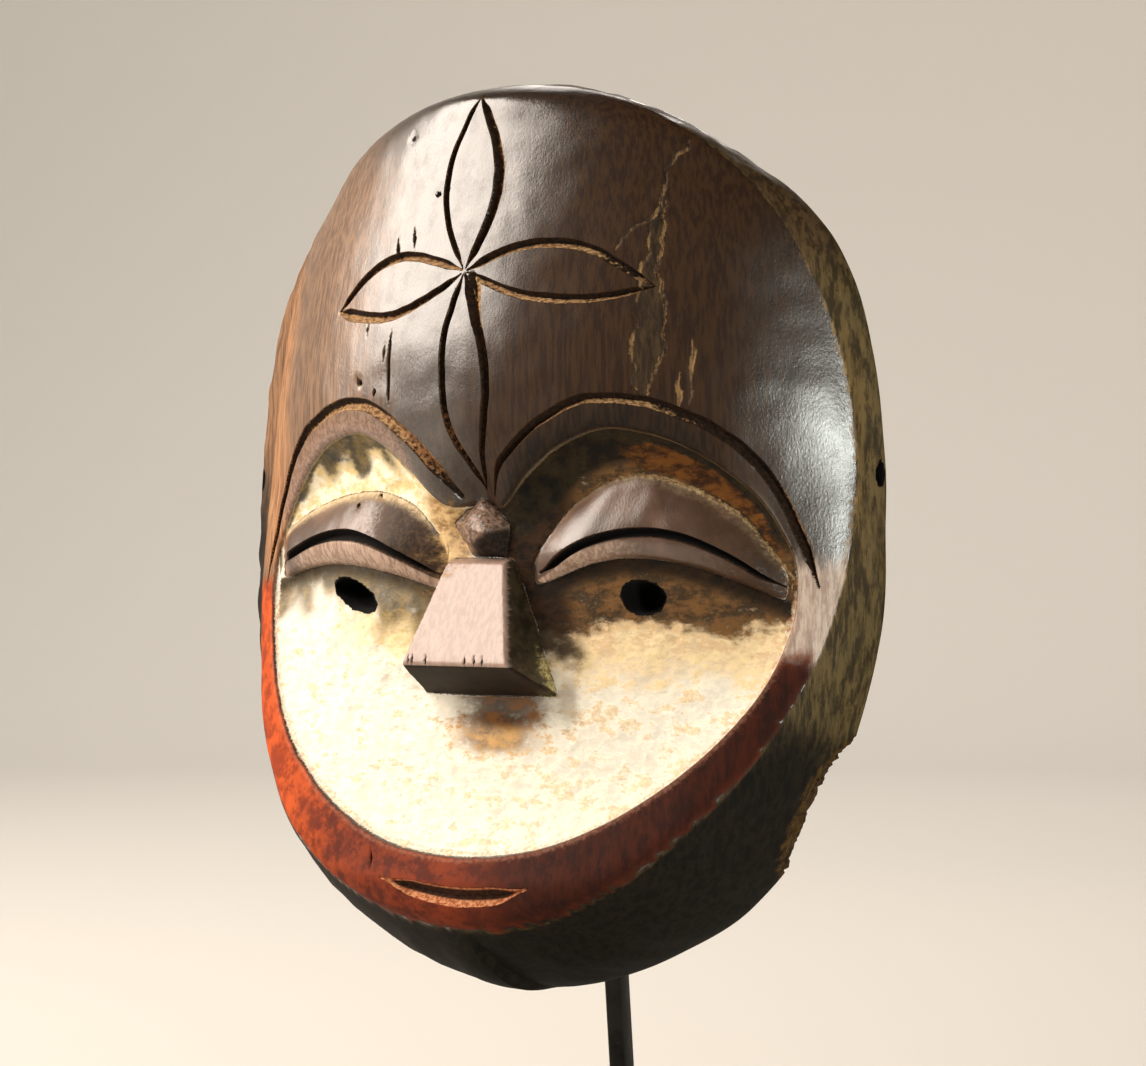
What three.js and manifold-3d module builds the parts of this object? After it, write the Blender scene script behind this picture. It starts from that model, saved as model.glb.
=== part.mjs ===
// A carved wooden face mask with a hollow back, held up on a bent square bar that stands in a steel foot.
// Millimetres, +Z up. The mask faces -Y, and +X is on the viewer's right.
// The origin is the centre of the foot's underside, and the mask's flat back edge lies in the plane y = 0.
// On the mask, x and z are measured from its own centre, and depth is measured forwards from the back edge.
import * as THREE from "three";
import { mergeVertices } from "three/addons/utils/BufferGeometryUtils.js";
import { ConvexGeometry } from "three/addons/geometries/ConvexGeometry.js";
import Module from "manifold-3d";

const wasm = await Module();
wasm.setup();

const colours = { wood: "#4b3526", steel: "#2a2724" };

// Heights above the surface that the foot stands on.
const maskCentreHeight = 242;

// The front is meshed in rings round the sunk face's centre. The first rings are shares of the way out to the
// face's edge, the next are shares of the way on to the ridge, and the last run down the sides.
const frontDirections = 96;
const faceRings = [0.15, 0.35, 0.55, 0.7, 0.82, 0.9, 0.96, 1];
const borderRings = [0, 0.08, 0.18, 0.3, 0.43, 0.57, 0.71, 0.84, 0.93, 0.97, 1];
const sideRings = [0.33, 0.67, 1];
const hollowDirections = 44;
const hollowRings = [0.2, 0.42, 0.62, 0.77, 0.88, 0.96, 1];

// The ridge is the edge of the carved front. It is two half superellipses.
const ridge = { halfWidth: 107.5, top: 125.5, bottom: 128.5, topPower: 2.2, bottomPower: 2 };

// The left half was carved slimmer at the temple and fuller at the jaw.
const leftTemple = { share: -0.018, z: 35, spread: 50 };
const leftJaw = { share: 0.034, z: -75, spread: 45 };

// Depth of the ridge by height: shallow at the temples, deep at the crown and at the chin.
const ridgeDepths = [
  [-128.5, 52], [-114, 50], [-100, 45.5], [-86, 36.8], [-68, 27], [-50, 18], [-29, 12], [-7.5, 7.5],
  [14, 5.2], [35, 5.9], [56, 8.2], [75, 11.5], [94, 14.5], [107, 20.7], [118, 24.7], [125.5, 27],
];

// Depth down the middle before the face is sunk, and how square the section across is.
const middleDepths = [
  [-128.5, 52], [-126, 56], [-120, 60], [-114, 61], [-107, 57.5], [-96, 53], [-80, 50.5], [-60, 49.5],
  [-30, 49.5], [0, 51.5], [25, 54], [44, 54.8], [68, 51.9], [93, 47], [112, 42.8], [119.8, 41],
  [122, 38], [124, 33], [125.5, 27],
];
const sectionPowers = [[-128.5, 0.6], [-100, 0.6], [-60, 0.8], [-30, 0.9], [0, 0.9], [25, 0.86], [60, 0.98], [125.5, 1]];

// The right half of the back edge, from the crown round to the chin.
const backEdge = [
  [0, 126.3], [14, 125], [30, 120], [55, 109], [70.5, 100], [85.5, 90], [96, 79], [104, 65], [110.5, 42],
  [114, 14], [114.5, -4], [113.5, -37], [109, -57], [101, -80], [90, -100], [77, -116.5], [64, -128],
  [48, -137], [26, -146.5], [0, -151.5],
];
const sideBulge = 1.2;
const chinBulge = { left: 6, right: 2.8 };

// The right half of the sunk face's edge: along the under side of the brow, and down round the cheek to the chin.
const faceEdge = [
  [0, -1], [9.5, -2], [21, 8], [29, 14.5], [39, 19.5], [46, 20.8], [54, 19.6], [62, 17], [70, 12.8], [77, 7.3],
  [84, 0.5], [89.6, -8], [94, -18], [95, -30], [93, -42], [86.5, -58.5], [75.6, -73.5], [61.7, -86],
  [45.7, -96], [26.6, -103.4], [0, -106.5],
];
const faceCentreZ = -42;
const faceStep = 1.2;
const faceSink = 5;
const socketSink = 4.5;
const sinkRun = 5.5;
const nasionValley = { deep: 10, halfWidth: 10, halfHeight: 13 };
const noseSideSink = { deep: 4, halfWidth: 24, top: 0, bottom: -75, fade: 20 };

// Eyelids, on the distance out from the middle: upper edge, slit and lower edge.
const lidRange = [18, 93];
const slitRange = [20.5, 90];
const rightLidTop = [
  [18, -20], [23.5, -9], [30, -2], [37.5, 3.5], [45.5, 6.8], [53.5, 7], [61, 4.6], [68, 1], [79, -5.5],
  [86, -12.5], [93, -27.5],
];
const leftLidTop = [[18, -20], [25, -4], [39, 1], [47, 1.8], [56, 1.2], [75, -4], [86, -13], [93, -24]];
const lidSlit = [
  [18, -23.8], [27, -18.5], [36, -13.5], [45, -10.7], [53, -9.8], [60.5, -10.3], [68.3, -12.6], [82.5, -20.2],
  [93, -28.5],
];
const lidBottom = [[18, -27], [32, -21.2], [43, -18], [52.5, -17.6], [65.5, -20], [79, -25], [93, -31.5]];
const lidHeight = 6.2;
const lidEnds = { inner: 7, outer: 9 };
const lidSink = 0.6;
const lidSections = [0, 0.05, 0.12, 0.2, 0.3, 0.4, 0.5, 0.6, 0.7, 0.8, 0.88, 0.95, 1];
const lidSteps = 6;
const lidRoot = 3;

// Carved grooves, as the width, depth, number of steps and run of each end of a V cut.
const flowerCut = { width: 3, depth: 2, steps: 12, taper: 5 };
const browCut = { width: 3.4, depth: 2.2, steps: 24, taper: 16 };
const slitCut = { width: 3.4, depth: 3.2, steps: 14, taper: 6 };
const mouthCut = { width: 6, depth: 4, steps: 10, taper: 26 };
const cutEndShare = 0.25;
const cutLift = 1.4;
const petalPoints = 8;
const slitPoints = 7;
const flowerCentre = [0.3, 67.6];
const petals = [
  { tip: [-0.9, 121], left: 9.3, right: 9.2 },
  { tip: [-54, 58.1], left: 7.2, right: 10 },
  { tip: [57.7, 61.5], left: 10.7, right: 6 },
  { tip: [2, 3], left: 8, right: 7.4 },
];
const browGroove = [
  [6, 1], [11, 9], [17.5, 16], [26, 22.5], [35, 27.5], [45, 29.3], [56, 28], [66, 24.5], [76.5, 18.5],
  [84, 11], [90, 1.5], [94.5, -9], [98, -19], [100, -26],
];
const mouthLine = [[-25, -113.4], [-13, -116], [2, -117.6], [16, -116.6], [26.2, -114.2]];

// The nose is a wedge with a flat front, and a small faceted knob sits above it.
const nose = {
  topHalf: 10.2, topDepth: 45.6, topZ: -19, frontLeft: 17.6, frontRight: 19.8, frontDepth: 59.5, frontZ: -49.5,
  leftFoot: 21.5, rightFoot: 26.5, footTopHalf: 12.5, footDepth: 30, footZ: -60, lipDepth: 39,
};
const knob = {
  corners: [[-0.5, 0.5], [-10.8, -7.3], [-4.5, -16.8], [7, -17.2], [8.8, -7.6]],
  peak: [2.6, 48, -9], edgeDepth: 42.3, footDepth: 30,
};

// Holes right through: two eyes, and two flat tie holes that run from the sides into the hollow.
const eyeHole = {
  x: 52.4, z: -29.2, frontWidth: 13.6, frontDepth: 37, backWidth: 8.4, backDepth: 18,
  left: { wide: 1.3, high: 0.81, slant: -1.05 },
  right: { wide: 0.98, high: 0.76, slant: -0.15 },
};
const tieHole = { from: 88, to: 130, depth: 2.1, z: 7, width: 1.9, height: 6.8 };
const holeSides = 24;

// The hollow: its edge is the back edge moved in, and its depth down the middle.
const wallAtBackEdge = 12;
const hollowDepths = [
  [-140, 12], [-125, 33], [-105, 41], [-80, 34], [-50, 23], [-28, 19], [0, 22], [20, 33], [45, 41],
  [75, 39], [100, 33], [113, 22],
];
const hollowPower = 0.75;
const hollowRim = { start: 0.5, rise: 60 };
const hollowBehind = 4;

// A break along the lower right of the back edge. Its wall leans outwards as it comes forwards.
const breakInner = [[104.6, -69.8], [100.5, -73.5], [95.5, -79.5], [88, -93.5], [82, -107], [79.5, -115]];
const breakReach = 30;
const breakDepth = 16;
const breakLean = 0.25;

// The stand: a square bar that leans forwards, with arms into the hollow, in a flat foot.
const bar = 6;
const foot = { size: 150, thick: 8, corner: 4, chamfer: 0.8 };
const barFootY = 45;
const barLean = THREE.MathUtils.degToRad(6.2);
const barTopHeight = maskCentreHeight + 88;
const crossBar = { half: 26, y: -12 };
const lowArm = { z: -143, half: 16 };
const gap = 0.35;
const roofClearance = 0.8;

// A smooth curve through the points that never overshoots them.
function curveThrough(points) {
  const last = points.length - 1;
  const slopes = [];
  for (let i = 0; i < last; i++) {
    slopes.push((points[i + 1][1] - points[i][1]) / (points[i + 1][0] - points[i][0]));
  }
  const tangents = points.map((_, i) => {
    if (i === 0) return slopes[0];
    if (i === last) return slopes[last - 1];
    const product = slopes[i - 1] * slopes[i];
    return product <= 0 ? 0 : (2 * product) / (slopes[i - 1] + slopes[i]);
  });
  return (value) => {
    const x = THREE.MathUtils.clamp(value, points[0][0], points[last][0]);
    let i = 0;
    while (i < last - 1 && x > points[i + 1][0]) i++;
    const span = points[i + 1][0] - points[i][0];
    const t = (x - points[i][0]) / span;
    const start = points[i][1] * (1 + 2 * t) * (1 - t) ** 2 + tangents[i] * span * t * (1 - t) ** 2;
    const end = points[i + 1][1] * t * t * (3 - 2 * t) + tangents[i + 1] * span * t * t * (t - 1);
    return start + end;
  };
}

const ridgeDepth = curveThrough(ridgeDepths);
const middleDepth = curveThrough(middleDepths);
const sectionPower = curveThrough(sectionPowers);
const hollowDepth = curveThrough(hollowDepths);
const lidTopRight = curveThrough(rightLidTop);
const lidTopLeft = curveThrough(leftLidTop);
const lidSlitHeight = curveThrough(lidSlit);
const lidBottomHeight = curveThrough(lidBottom);

const smooth = (value, from, to) => THREE.MathUtils.smoothstep(value, from, to);
const bell = (value, width) => Math.exp(-((value / width) ** 2));

// Half the front's width at a height, on the side where x lies.
function ridgeHalfWidth(x, z) {
  const reach = z > 0 ? ridge.top : ridge.bottom;
  const power = z > 0 ? ridge.topPower : ridge.bottomPower;
  const half = ridge.halfWidth * Math.max(0, 1 - (Math.abs(z) / reach) ** power) ** (1 / power);
  if (x >= 0) return half;
  const temple = leftTemple.share * bell(z - leftTemple.z, leftTemple.spread);
  const jaw = leftJaw.share * bell(z - leftJaw.z, leftJaw.spread);
  return half * (1 + temple + jaw);
}

const insideRidge = (x, z) => z > -ridge.bottom && z < ridge.top && Math.abs(x) < ridgeHalfWidth(x, z);

// The back edge as a radius by direction, mirrored to the left.
const turn = 2 * Math.PI;
const backRadius = (() => {
  const right = backEdge.map(([x, z]) => [Math.atan2(z, x), Math.hypot(x, z)]);
  const left = right.slice(1, -1).map(([angle, radius]) => [Math.PI - angle, radius]);
  const all = [...right, ...left].map(([angle, radius]) => [(angle + turn) % turn, radius]);
  all.sort((a, b) => a[0] - b[0]);
  const first = all[0];
  const last = all[all.length - 1];
  const curve = curveThrough([[last[0] - turn, last[1]], ...all, [first[0] + turn, first[1]]]);
  return (angle) => curve((angle + turn) % turn);
})();
const insideBack = (x, z) => Math.hypot(x, z) < backRadius(Math.atan2(z, x));

// The sunk face's edge as a closed outline, and how far a point lies inside it.
const faceOutline = (() => {
  const left = faceEdge.slice(1, -1).reverse().map(([x, z]) => [-x, z]);
  const points = [...faceEdge, ...left].map(([x, z]) => new THREE.Vector3(x, 0, z));
  return new THREE.CatmullRomCurve3(points, true, "centripetal").getPoints(180);
})();

// Points along that outline, spread so that neither its own steps nor the steps along the brow's top get long.
const faceSpots = (() => {
  const crownShare = 0.35;
  const sums = [0];
  for (let i = 1; i < faceOutline.length; i++) {
    const a = faceOutline[i - 1];
    const b = faceOutline[i];
    const turned = Math.abs(Math.atan2(b.z - faceCentreZ, b.x) - Math.atan2(a.z - faceCentreZ, a.x));
    sums.push(sums[i - 1] + a.distanceTo(b) + crownShare * ridge.top * Math.min(turned, turn - turned));
  }
  const total = sums[sums.length - 1];
  return Array.from({ length: frontDirections }, (_, k) => {
    const goal = (k / frontDirections) * total;
    const i = sums.findIndex((sum) => sum > goal);
    return faceOutline[i - 1].clone().lerp(faceOutline[i], (goal - sums[i - 1]) / (sums[i] - sums[i - 1]));
  });
})();

function insideFace(x, z) {
  let nearest = Infinity;
  let inside = false;
  for (let i = 0; i < faceOutline.length - 1; i++) {
    const a = faceOutline[i];
    const b = faceOutline[i + 1];
    const dx = b.x - a.x;
    const dz = b.z - a.z;
    const along = THREE.MathUtils.clamp(((x - a.x) * dx + (z - a.z) * dz) / (dx * dx + dz * dz), 0, 1);
    nearest = Math.min(nearest, Math.hypot(x - a.x - along * dx, z - a.z - along * dz));
    if (a.z > z !== b.z > z && x < a.x + ((z - a.z) / dz) * dx) inside = !inside;
  }
  return inside ? nearest : -nearest;
}

// Depth of the plain block, and then of the carved front.
function blockDepth(x, z) {
  const across = Math.min(1, Math.abs(x) / Math.max(ridgeHalfWidth(x, z), 1e-6));
  const edge = ridgeDepth(z);
  const valley = nasionValley.deep * bell(x, nasionValley.halfWidth) * bell(z, nasionValley.halfHeight);
  return edge + (middleDepth(z) - edge) * (1 - across * across) ** sectionPower(z) - valley;
}

// How far a closed eyelid swells from its rooted edge.
function lidSwell(x, z) {
  const out = Math.abs(x);
  const inner = smooth(out, lidRange[0], lidRange[0] + lidEnds.inner);
  const outer = 1 - smooth(out, lidRange[1] - lidEnds.outer, lidRange[1]);
  const top = x > 0 ? lidTopRight(out) : lidTopLeft(out);
  const slit = lidSlitHeight(out);
  const bottom = lidBottomHeight(out);
  if (z > top || z < bottom) return 0;
  const from = z > slit ? (z - slit) / (top - slit) : (slit - z) / (slit - bottom);
  return lidHeight * inner * outer * Math.sqrt(Math.max(0, 1 - from ** 2));
}

// Depth of the sunk face's floor.
function floorDepth(x, z) {
  const ramp = 1 - Math.exp(-Math.max(0, insideFace(x, z)) / sinkRun);
  const socket = socketSink * smooth(z, -16, 2);
  const side = noseSideSink;
  const down = smooth(z, side.bottom, side.bottom + side.fade) * smooth(side.top - z, 0, side.fade / 2);
  const noseSide = side.deep * bell(x, side.halfWidth) * down;
  return blockDepth(x, z) - faceStep - (faceSink + socket + noseSide) * ramp;
}

function frontDepth(x, z) {
  if (insideFace(x, z) <= 0) return blockDepth(x, z);
  return floorDepth(x, z) + Math.max(0, lidSwell(x, z) - lidSink);
}

// Depth of the hollow, measured like the front's.
const hollowRadius = (angle) => backRadius(angle) - wallAtBackEdge;

function innerDepth(x, z) {
  const reach = Math.hypot(x, z) / hollowRadius(Math.atan2(z, x));
  const edge = hollowRim.rise * Math.max(0, 1 - reach ** 2) ** hollowPower;
  const across = Math.min(1, Math.abs(x) / (ridge.halfWidth - wallAtBackEdge));
  return Math.min(hollowDepth(z) * (1 - across * across) ** hollowPower, edge) + hollowRim.start;
}

// A solid from corner positions and triangles, and back again as a geometry.
function solidFrom(positions, triangles) {
  const build = (list) =>
    new wasm.Manifold(
      new wasm.Mesh({
        numProp: 3,
        vertProperties: new Float32Array(positions),
        triVerts: new Uint32Array(list),
      }),
    );
  const made = build(triangles);
  if (made.volume() > 0) return made;
  const turned = [];
  for (let i = 0; i < triangles.length; i += 3) turned.push(triangles[i], triangles[i + 2], triangles[i + 1]);
  return build(turned);
}

function solidOf(geometry) {
  const bare = geometry.clone();
  bare.deleteAttribute("normal");
  bare.deleteAttribute("uv");
  const merged = mergeVertices(bare, 1e-3);
  return solidFrom(merged.attributes.position.array, merged.index.array);
}

function geometryOf(solid) {
  const mesh = solid.getMesh();
  const positions = new Float32Array(mesh.numVert * 3);
  for (let i = 0; i < mesh.numVert; i++) {
    for (let k = 0; k < 3; k++) positions[3 * i + k] = mesh.vertProperties[i * mesh.numProp + k];
  }
  const geometry = new THREE.BufferGeometry();
  geometry.setAttribute("position", new THREE.BufferAttribute(positions, 3));
  geometry.setIndex(new THREE.BufferAttribute(new Uint32Array(mesh.triVerts), 1));
  geometry.computeVertexNormals();
  return geometry;
}

// A closed solid through rings of points, with a fan to a point at each end.
function ringedSolid(start, rings, end) {
  const count = rings[0].length;
  const positions = [start, ...rings.flat(), end].flatMap((point) => point.toArray());
  const last = 1 + rings.length * count;
  const triangles = [];
  for (let k = 0; k < count; k++) {
    const next = (k + 1) % count;
    triangles.push(0, 1 + next, 1 + k);
    triangles.push(last, last - count + k, last - count + next);
    for (let ring = 0; ring < rings.length - 1; ring++) {
      const a = 1 + ring * count + k;
      const b = 1 + ring * count + next;
      triangles.push(a, b, b + count, a, b + count, a + count);
    }
  }
  return solidFrom(positions, triangles);
}

// How far a region reaches from the sunk face's centre in a direction.
function reachIn(direction, isInside) {
  let low = 0;
  let high = 2 * ridge.bottom;
  for (let i = 0; i < 40; i++) {
    const reach = (low + high) / 2;
    if (isInside(direction.x * reach, faceCentreZ + direction.z * reach)) low = reach;
    else high = reach;
  }
  return low;
}

// The block with its face sunk and its sides bulged between the ridge and the back edge.
function frontSolid() {
  const at = (x, depth, z) => new THREE.Vector3(x, -depth, z);
  const lines = faceSpots.map((edge) => {
    const faceReach = Math.hypot(edge.x, edge.z - faceCentreZ);
    const direction = new THREE.Vector3(edge.x / faceReach, 0, (edge.z - faceCentreZ) / faceReach);
    const spot = (reach, depthAt) => {
      const x = direction.x * reach;
      const z = faceCentreZ + direction.z * reach;
      return at(x, depthAt(x, z), z);
    };
    const ridgeReach = reachIn(direction, insideRidge);
    const line = faceRings.map((share) => spot(share * faceReach, floorDepth));
    for (const share of borderRings) line.push(spot(faceReach + share * (ridgeReach - faceReach), blockDepth));
    const start = line[line.length - 1];
    const end = spot(reachIn(direction, insideBack), () => 0);
    const chord = end.clone().sub(start).normalize();
    const outwards = direction.clone().addScaledVector(chord, -direction.dot(chord)).normalize();
    const chin = direction.x < 0 ? chinBulge.left : chinBulge.right;
    const bulge = sideBulge + chin * Math.max(0, -direction.z) ** 2;
    for (const share of sideRings) {
      line.push(start.clone().lerp(end, share).addScaledVector(outwards, bulge * 4 * share * (1 - share)));
    }
    return line;
  });
  const rings = lines[0].map((_, ring) => lines.map((line) => line[ring]));
  return ringedSolid(at(0, floorDepth(0, faceCentreZ), faceCentreZ), rings, at(0, 0, faceCentreZ));
}

function hollowSolid() {
  const directions = Array.from({ length: hollowDirections }, (_, i) => (i / hollowDirections) * turn);
  const rings = hollowRings.map((share) => directions.map((angle) => {
    const reach = share * hollowRadius(angle);
    const x = reach * Math.cos(angle);
    const z = reach * Math.sin(angle);
    return new THREE.Vector3(x, -innerDepth(x, z), z);
  }));
  rings.push(rings[rings.length - 1].map((point) => new THREE.Vector3(point.x, hollowBehind, point.z)));
  return ringedSolid(new THREE.Vector3(0, -innerDepth(0, 0), 0), rings, new THREE.Vector3(0, hollowBehind, 0));
}

// A closed eyelid, rooted a little way into the face's floor.
function lidSolid(side) {
  const rings = lidSections.map((share) => {
    const x = side * THREE.MathUtils.lerp(lidRange[0], lidRange[1], share);
    const out = Math.abs(x);
    const top = side > 0 ? lidTopRight(out) : lidTopLeft(out);
    const bottom = lidBottomHeight(out);
    const slit = lidSlitHeight(out);
    const heights = [];
    for (let i = 0; i <= lidSteps; i++) {
      const turned = Math.cos((i / lidSteps) * Math.PI);
      heights.push(slit + (turned > 0 ? top - slit : slit - bottom) * turned);
    }
    const ring = heights.map((z) => new THREE.Vector3(x, lidSink - floorDepth(x, z) - lidSwell(x, z), z));
    for (const z of [bottom, top]) ring.push(new THREE.Vector3(x, lidRoot - floorDepth(x, z), z));
    return ring;
  });
  const middle = (ring) => ring.reduce((sum, point) => sum.add(point), new THREE.Vector3()).divideScalar(ring.length);
  return ringedSolid(middle(rings[0]), rings, middle(rings[rings.length - 1]));
}

// A V cut along a line on the front, narrower at its ends.
function gouge(line, { width, depth, steps, taper }) {
  const points = line.map(([x, z]) => new THREE.Vector3(x, 0, z));
  const path = new THREE.CatmullRomCurve3(points, false, "centripetal").getSpacedPoints(steps);
  const length = path.slice(1).reduce((sum, point, i) => sum + point.distanceTo(path[i]), 0);
  const at = (x, z) => new THREE.Vector3(x, -frontDepth(x, z), z);
  const sections = path.map((point, i) => {
    const here = at(point.x, point.z);
    const before = path[Math.max(0, i - 1)];
    const after = path[Math.min(steps, i + 1)];
    const forward = at(after.x, after.z).sub(at(before.x, before.z)).normalize();
    const out = new THREE.Vector3(0, -1, 0).addScaledVector(forward, forward.y).normalize();
    const side = new THREE.Vector3().crossVectors(forward, out);
    const toEnd = (Math.min(i, steps - i) / steps) * length;
    const fullness = THREE.MathUtils.lerp(cutEndShare, 1, smooth(toEnd, 0, taper));
    const half = (width / 2) * fullness * (1 + cutLift / (depth * fullness));
    const top = here.clone().addScaledVector(out, cutLift);
    const a = top.clone().addScaledVector(side, half);
    const b = top.clone().addScaledVector(side, -half);
    const c = here.clone().addScaledVector(out, -depth * fullness);
    return [a, b, c];
  });
  const middle = (points) => new THREE.Triangle(...points).getMidpoint(new THREE.Vector3());
  return ringedSolid(middle(sections[0]), sections, middle(sections[steps]));
}

// The two lines of a petal, from the flower's centre to its tip.
function petalLines({ tip, left, right }) {
  const [cx, cz] = flowerCentre;
  const dx = tip[0] - cx;
  const dz = tip[1] - cz;
  const length = Math.hypot(dx, dz);
  return [left, -right].map((bow) => {
    const line = [];
    for (let i = 0; i <= petalPoints; i++) {
      const share = THREE.MathUtils.lerp(0.02, 1, i / petalPoints);
      const offset = bow * Math.sin(Math.PI * share);
      line.push([cx + dx * share - (dz / length) * offset, cz + dz * share + (dx / length) * offset]);
    }
    return line;
  });
}

const mirrored = (line) => line.map(([x, z]) => [-x, z]);
const convex = (points) => solidOf(new ConvexGeometry(points.map(([x, depth, z]) => new THREE.Vector3(x, -depth, z))));

function noseSolid() {
  const n = nose;
  return convex([[-1, n.frontLeft, n.leftFoot], [1, n.frontRight, n.rightFoot]].flatMap(([side, frontHalf, footHalf]) => [
    [side * n.topHalf, n.topDepth, n.topZ],
    [side * frontHalf, n.frontDepth, n.frontZ],
    [side * n.footTopHalf, n.footDepth, n.topZ + 3],
    [side * footHalf, n.footDepth, n.footZ],
    [side * footHalf, n.lipDepth, n.footZ + 0.5],
  ]));
}

function knobSolid() {
  const rings = [knob.edgeDepth, knob.footDepth].flatMap((depth) => knob.corners.map(([x, z]) => [x, depth, z]));
  return convex([knob.peak, ...rings]);
}

function tieHoleCut(side) {
  const { from, to, width, height } = tieHole;
  const cutter = new THREE.CylinderGeometry(width / 2, width / 2, to - from, holeSides);
  cutter.rotateZ(Math.PI / 2);
  cutter.scale(1, 1, height / width);
  cutter.translate((side * (from + to)) / 2, -tieHole.depth, tieHole.z);
  return solidOf(cutter);
}

// An eye hole is a slanted oval that narrows towards the hollow.
function eyeHoleCut(side) {
  const oval = side < 0 ? eyeHole.left : eyeHole.right;
  const taper = (eyeHole.frontWidth - eyeHole.backWidth) / (eyeHole.frontDepth - eyeHole.backDepth);
  const widthAt = (depth) => eyeHole.backWidth + taper * (depth - eyeHole.backDepth);
  const front = 60;
  const back = -hollowBehind;
  const cutter = new THREE.CylinderGeometry(widthAt(back) / 2, widthAt(front) / 2, front - back, holeSides);
  cutter.scale(oval.wide, 1, oval.high);
  cutter.applyMatrix4(new THREE.Matrix4().set(1, 0, oval.slant, 0, 0, 1, 0, 0, 0, 0, 1, 0, 0, 0, 0, 1));
  cutter.translate(side * eyeHole.x, -(front + back) / 2, eyeHole.z);
  return solidOf(cutter);
}

function backEdgeBreak() {
  const corners = [];
  for (const [x, z] of breakInner) {
    for (const depth of [-hollowBehind, breakDepth]) corners.push([x + breakLean * depth, depth, z]);
  }
  const first = breakInner[0];
  const last = breakInner[breakInner.length - 1];
  for (const depth of [-hollowBehind, breakDepth]) {
    corners.push([first[0] + breakReach, depth, first[1]], [last[0] + breakReach, depth, last[1] - breakReach / 2]);
  }
  return convex(corners);
}

function maskSolid() {
  let solid = frontSolid();
  for (const piece of [lidSolid(-1), lidSolid(1), noseSolid(), knobSolid()]) solid = solid.add(piece);
  const cuts = petals.flatMap(petalLines).map((line) => gouge(line, flowerCut));
  const lidLine = Array.from({ length: slitPoints + 1 }, (_, i) => {
    const x = THREE.MathUtils.lerp(...slitRange, i / slitPoints);
    return [x, lidSlitHeight(x)];
  });
  for (const line of [browGroove, mirrored(browGroove)]) cuts.push(gouge(line, browCut));
  for (const line of [lidLine, mirrored(lidLine)]) cuts.push(gouge(line, slitCut));
  cuts.push(gouge(mouthLine, mouthCut));
  for (const side of [-1, 1]) cuts.push(eyeHoleCut(side), tieHoleCut(side));
  cuts.push(hollowSolid(), backEdgeBreak());
  for (const cut of cuts) solid = solid.subtract(cut);
  return solid;
}

// The bar of the stand, welded up from square lengths.
function squareBar(from, to) {
  const run = new THREE.Vector3().subVectors(to, from);
  const length = run.length();
  const box = new THREE.BoxGeometry(bar, bar, length);
  box.applyQuaternion(new THREE.Quaternion().setFromUnitVectors(new THREE.Vector3(0, 0, 1), run.normalize()));
  const middle = new THREE.Vector3().addVectors(from, to).multiplyScalar(0.5);
  box.translate(middle.x, middle.y, middle.z);
  return solidOf(box);
}

const barY = (height) => barFootY - (height - foot.thick) * Math.tan(barLean);

// The prongs reach up to just under the hollow's roof.
function prongTop() {
  const reach = -crossBar.y + bar / 2 + roofClearance;
  let z = barTopHeight - maskCentreHeight;
  while (innerDepth(crossBar.half + bar / 2, z) > reach) z += 0.1;
  return maskCentreHeight + z - roofClearance;
}

function barSolid() {
  const point = (x, y, z) => new THREE.Vector3(x, y, z);
  const half = bar / 2;
  const bottomHeight = foot.thick + gap + half * Math.sin(barLean);
  const armHeight = barTopHeight - half;
  const lowHeight = maskCentreHeight + lowArm.z;
  const reach = crossBar.half + half;
  const pieces = [
    squareBar(point(0, barY(bottomHeight), bottomHeight), point(0, barY(barTopHeight), barTopHeight)),
    squareBar(point(0, barY(barTopHeight) + half, armHeight), point(0, crossBar.y - half, armHeight)),
    squareBar(point(-reach, crossBar.y, armHeight), point(reach, crossBar.y, armHeight)),
    squareBar(point(0, barY(lowHeight), lowHeight), point(0, gap, lowHeight)),
    squareBar(point(-lowArm.half, gap + half, lowHeight), point(lowArm.half, gap + half, lowHeight)),
  ];
  for (const side of [-1, 1]) {
    const x = side * crossBar.half;
    pieces.push(squareBar(point(x, crossBar.y, armHeight), point(x, crossBar.y, prongTop())));
  }
  return pieces.reduce((sum, piece) => sum.add(piece));
}

function footGeometry() {
  const half = foot.size / 2 - foot.chamfer;
  const flat = half - foot.corner;
  const outline = new THREE.Shape();
  outline.absarc(flat, flat, foot.corner, 0, Math.PI / 2);
  outline.absarc(-flat, flat, foot.corner, Math.PI / 2, Math.PI);
  outline.absarc(-flat, -flat, foot.corner, Math.PI, 1.5 * Math.PI);
  outline.absarc(flat, -flat, foot.corner, 1.5 * Math.PI, 2 * Math.PI);
  const geometry = new THREE.ExtrudeGeometry(outline, {
    depth: foot.thick - 2 * foot.chamfer,
    bevelThickness: foot.chamfer,
    bevelSize: foot.chamfer,
    bevelSegments: 1,
    curveSegments: 3,
  });
  return geometry.translate(0, 0, foot.chamfer);
}

function namedMesh(name, geometry, material) {
  const mesh = new THREE.Mesh(geometry, material);
  mesh.name = name;
  return mesh;
}

const wood = new THREE.MeshStandardMaterial({ color: colours.wood, roughness: 0.6, metalness: 0 });
const steel = new THREE.MeshStandardMaterial({ color: colours.steel, roughness: 0.55, metalness: 0.6 });

const part = new THREE.Group();
const mask = namedMesh("mask", geometryOf(maskSolid()), wood);
mask.position.z = maskCentreHeight;
part.add(mask);
part.add(namedMesh("stand_rod", geometryOf(barSolid()), steel));
part.add(namedMesh("stand_foot", footGeometry(), steel));

export default part;
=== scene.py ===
import math

import bpy
import numpy as np
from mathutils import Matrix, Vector
from mathutils.geometry import delaunay_2d_cdt
from mathutils.noise import fractal


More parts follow.
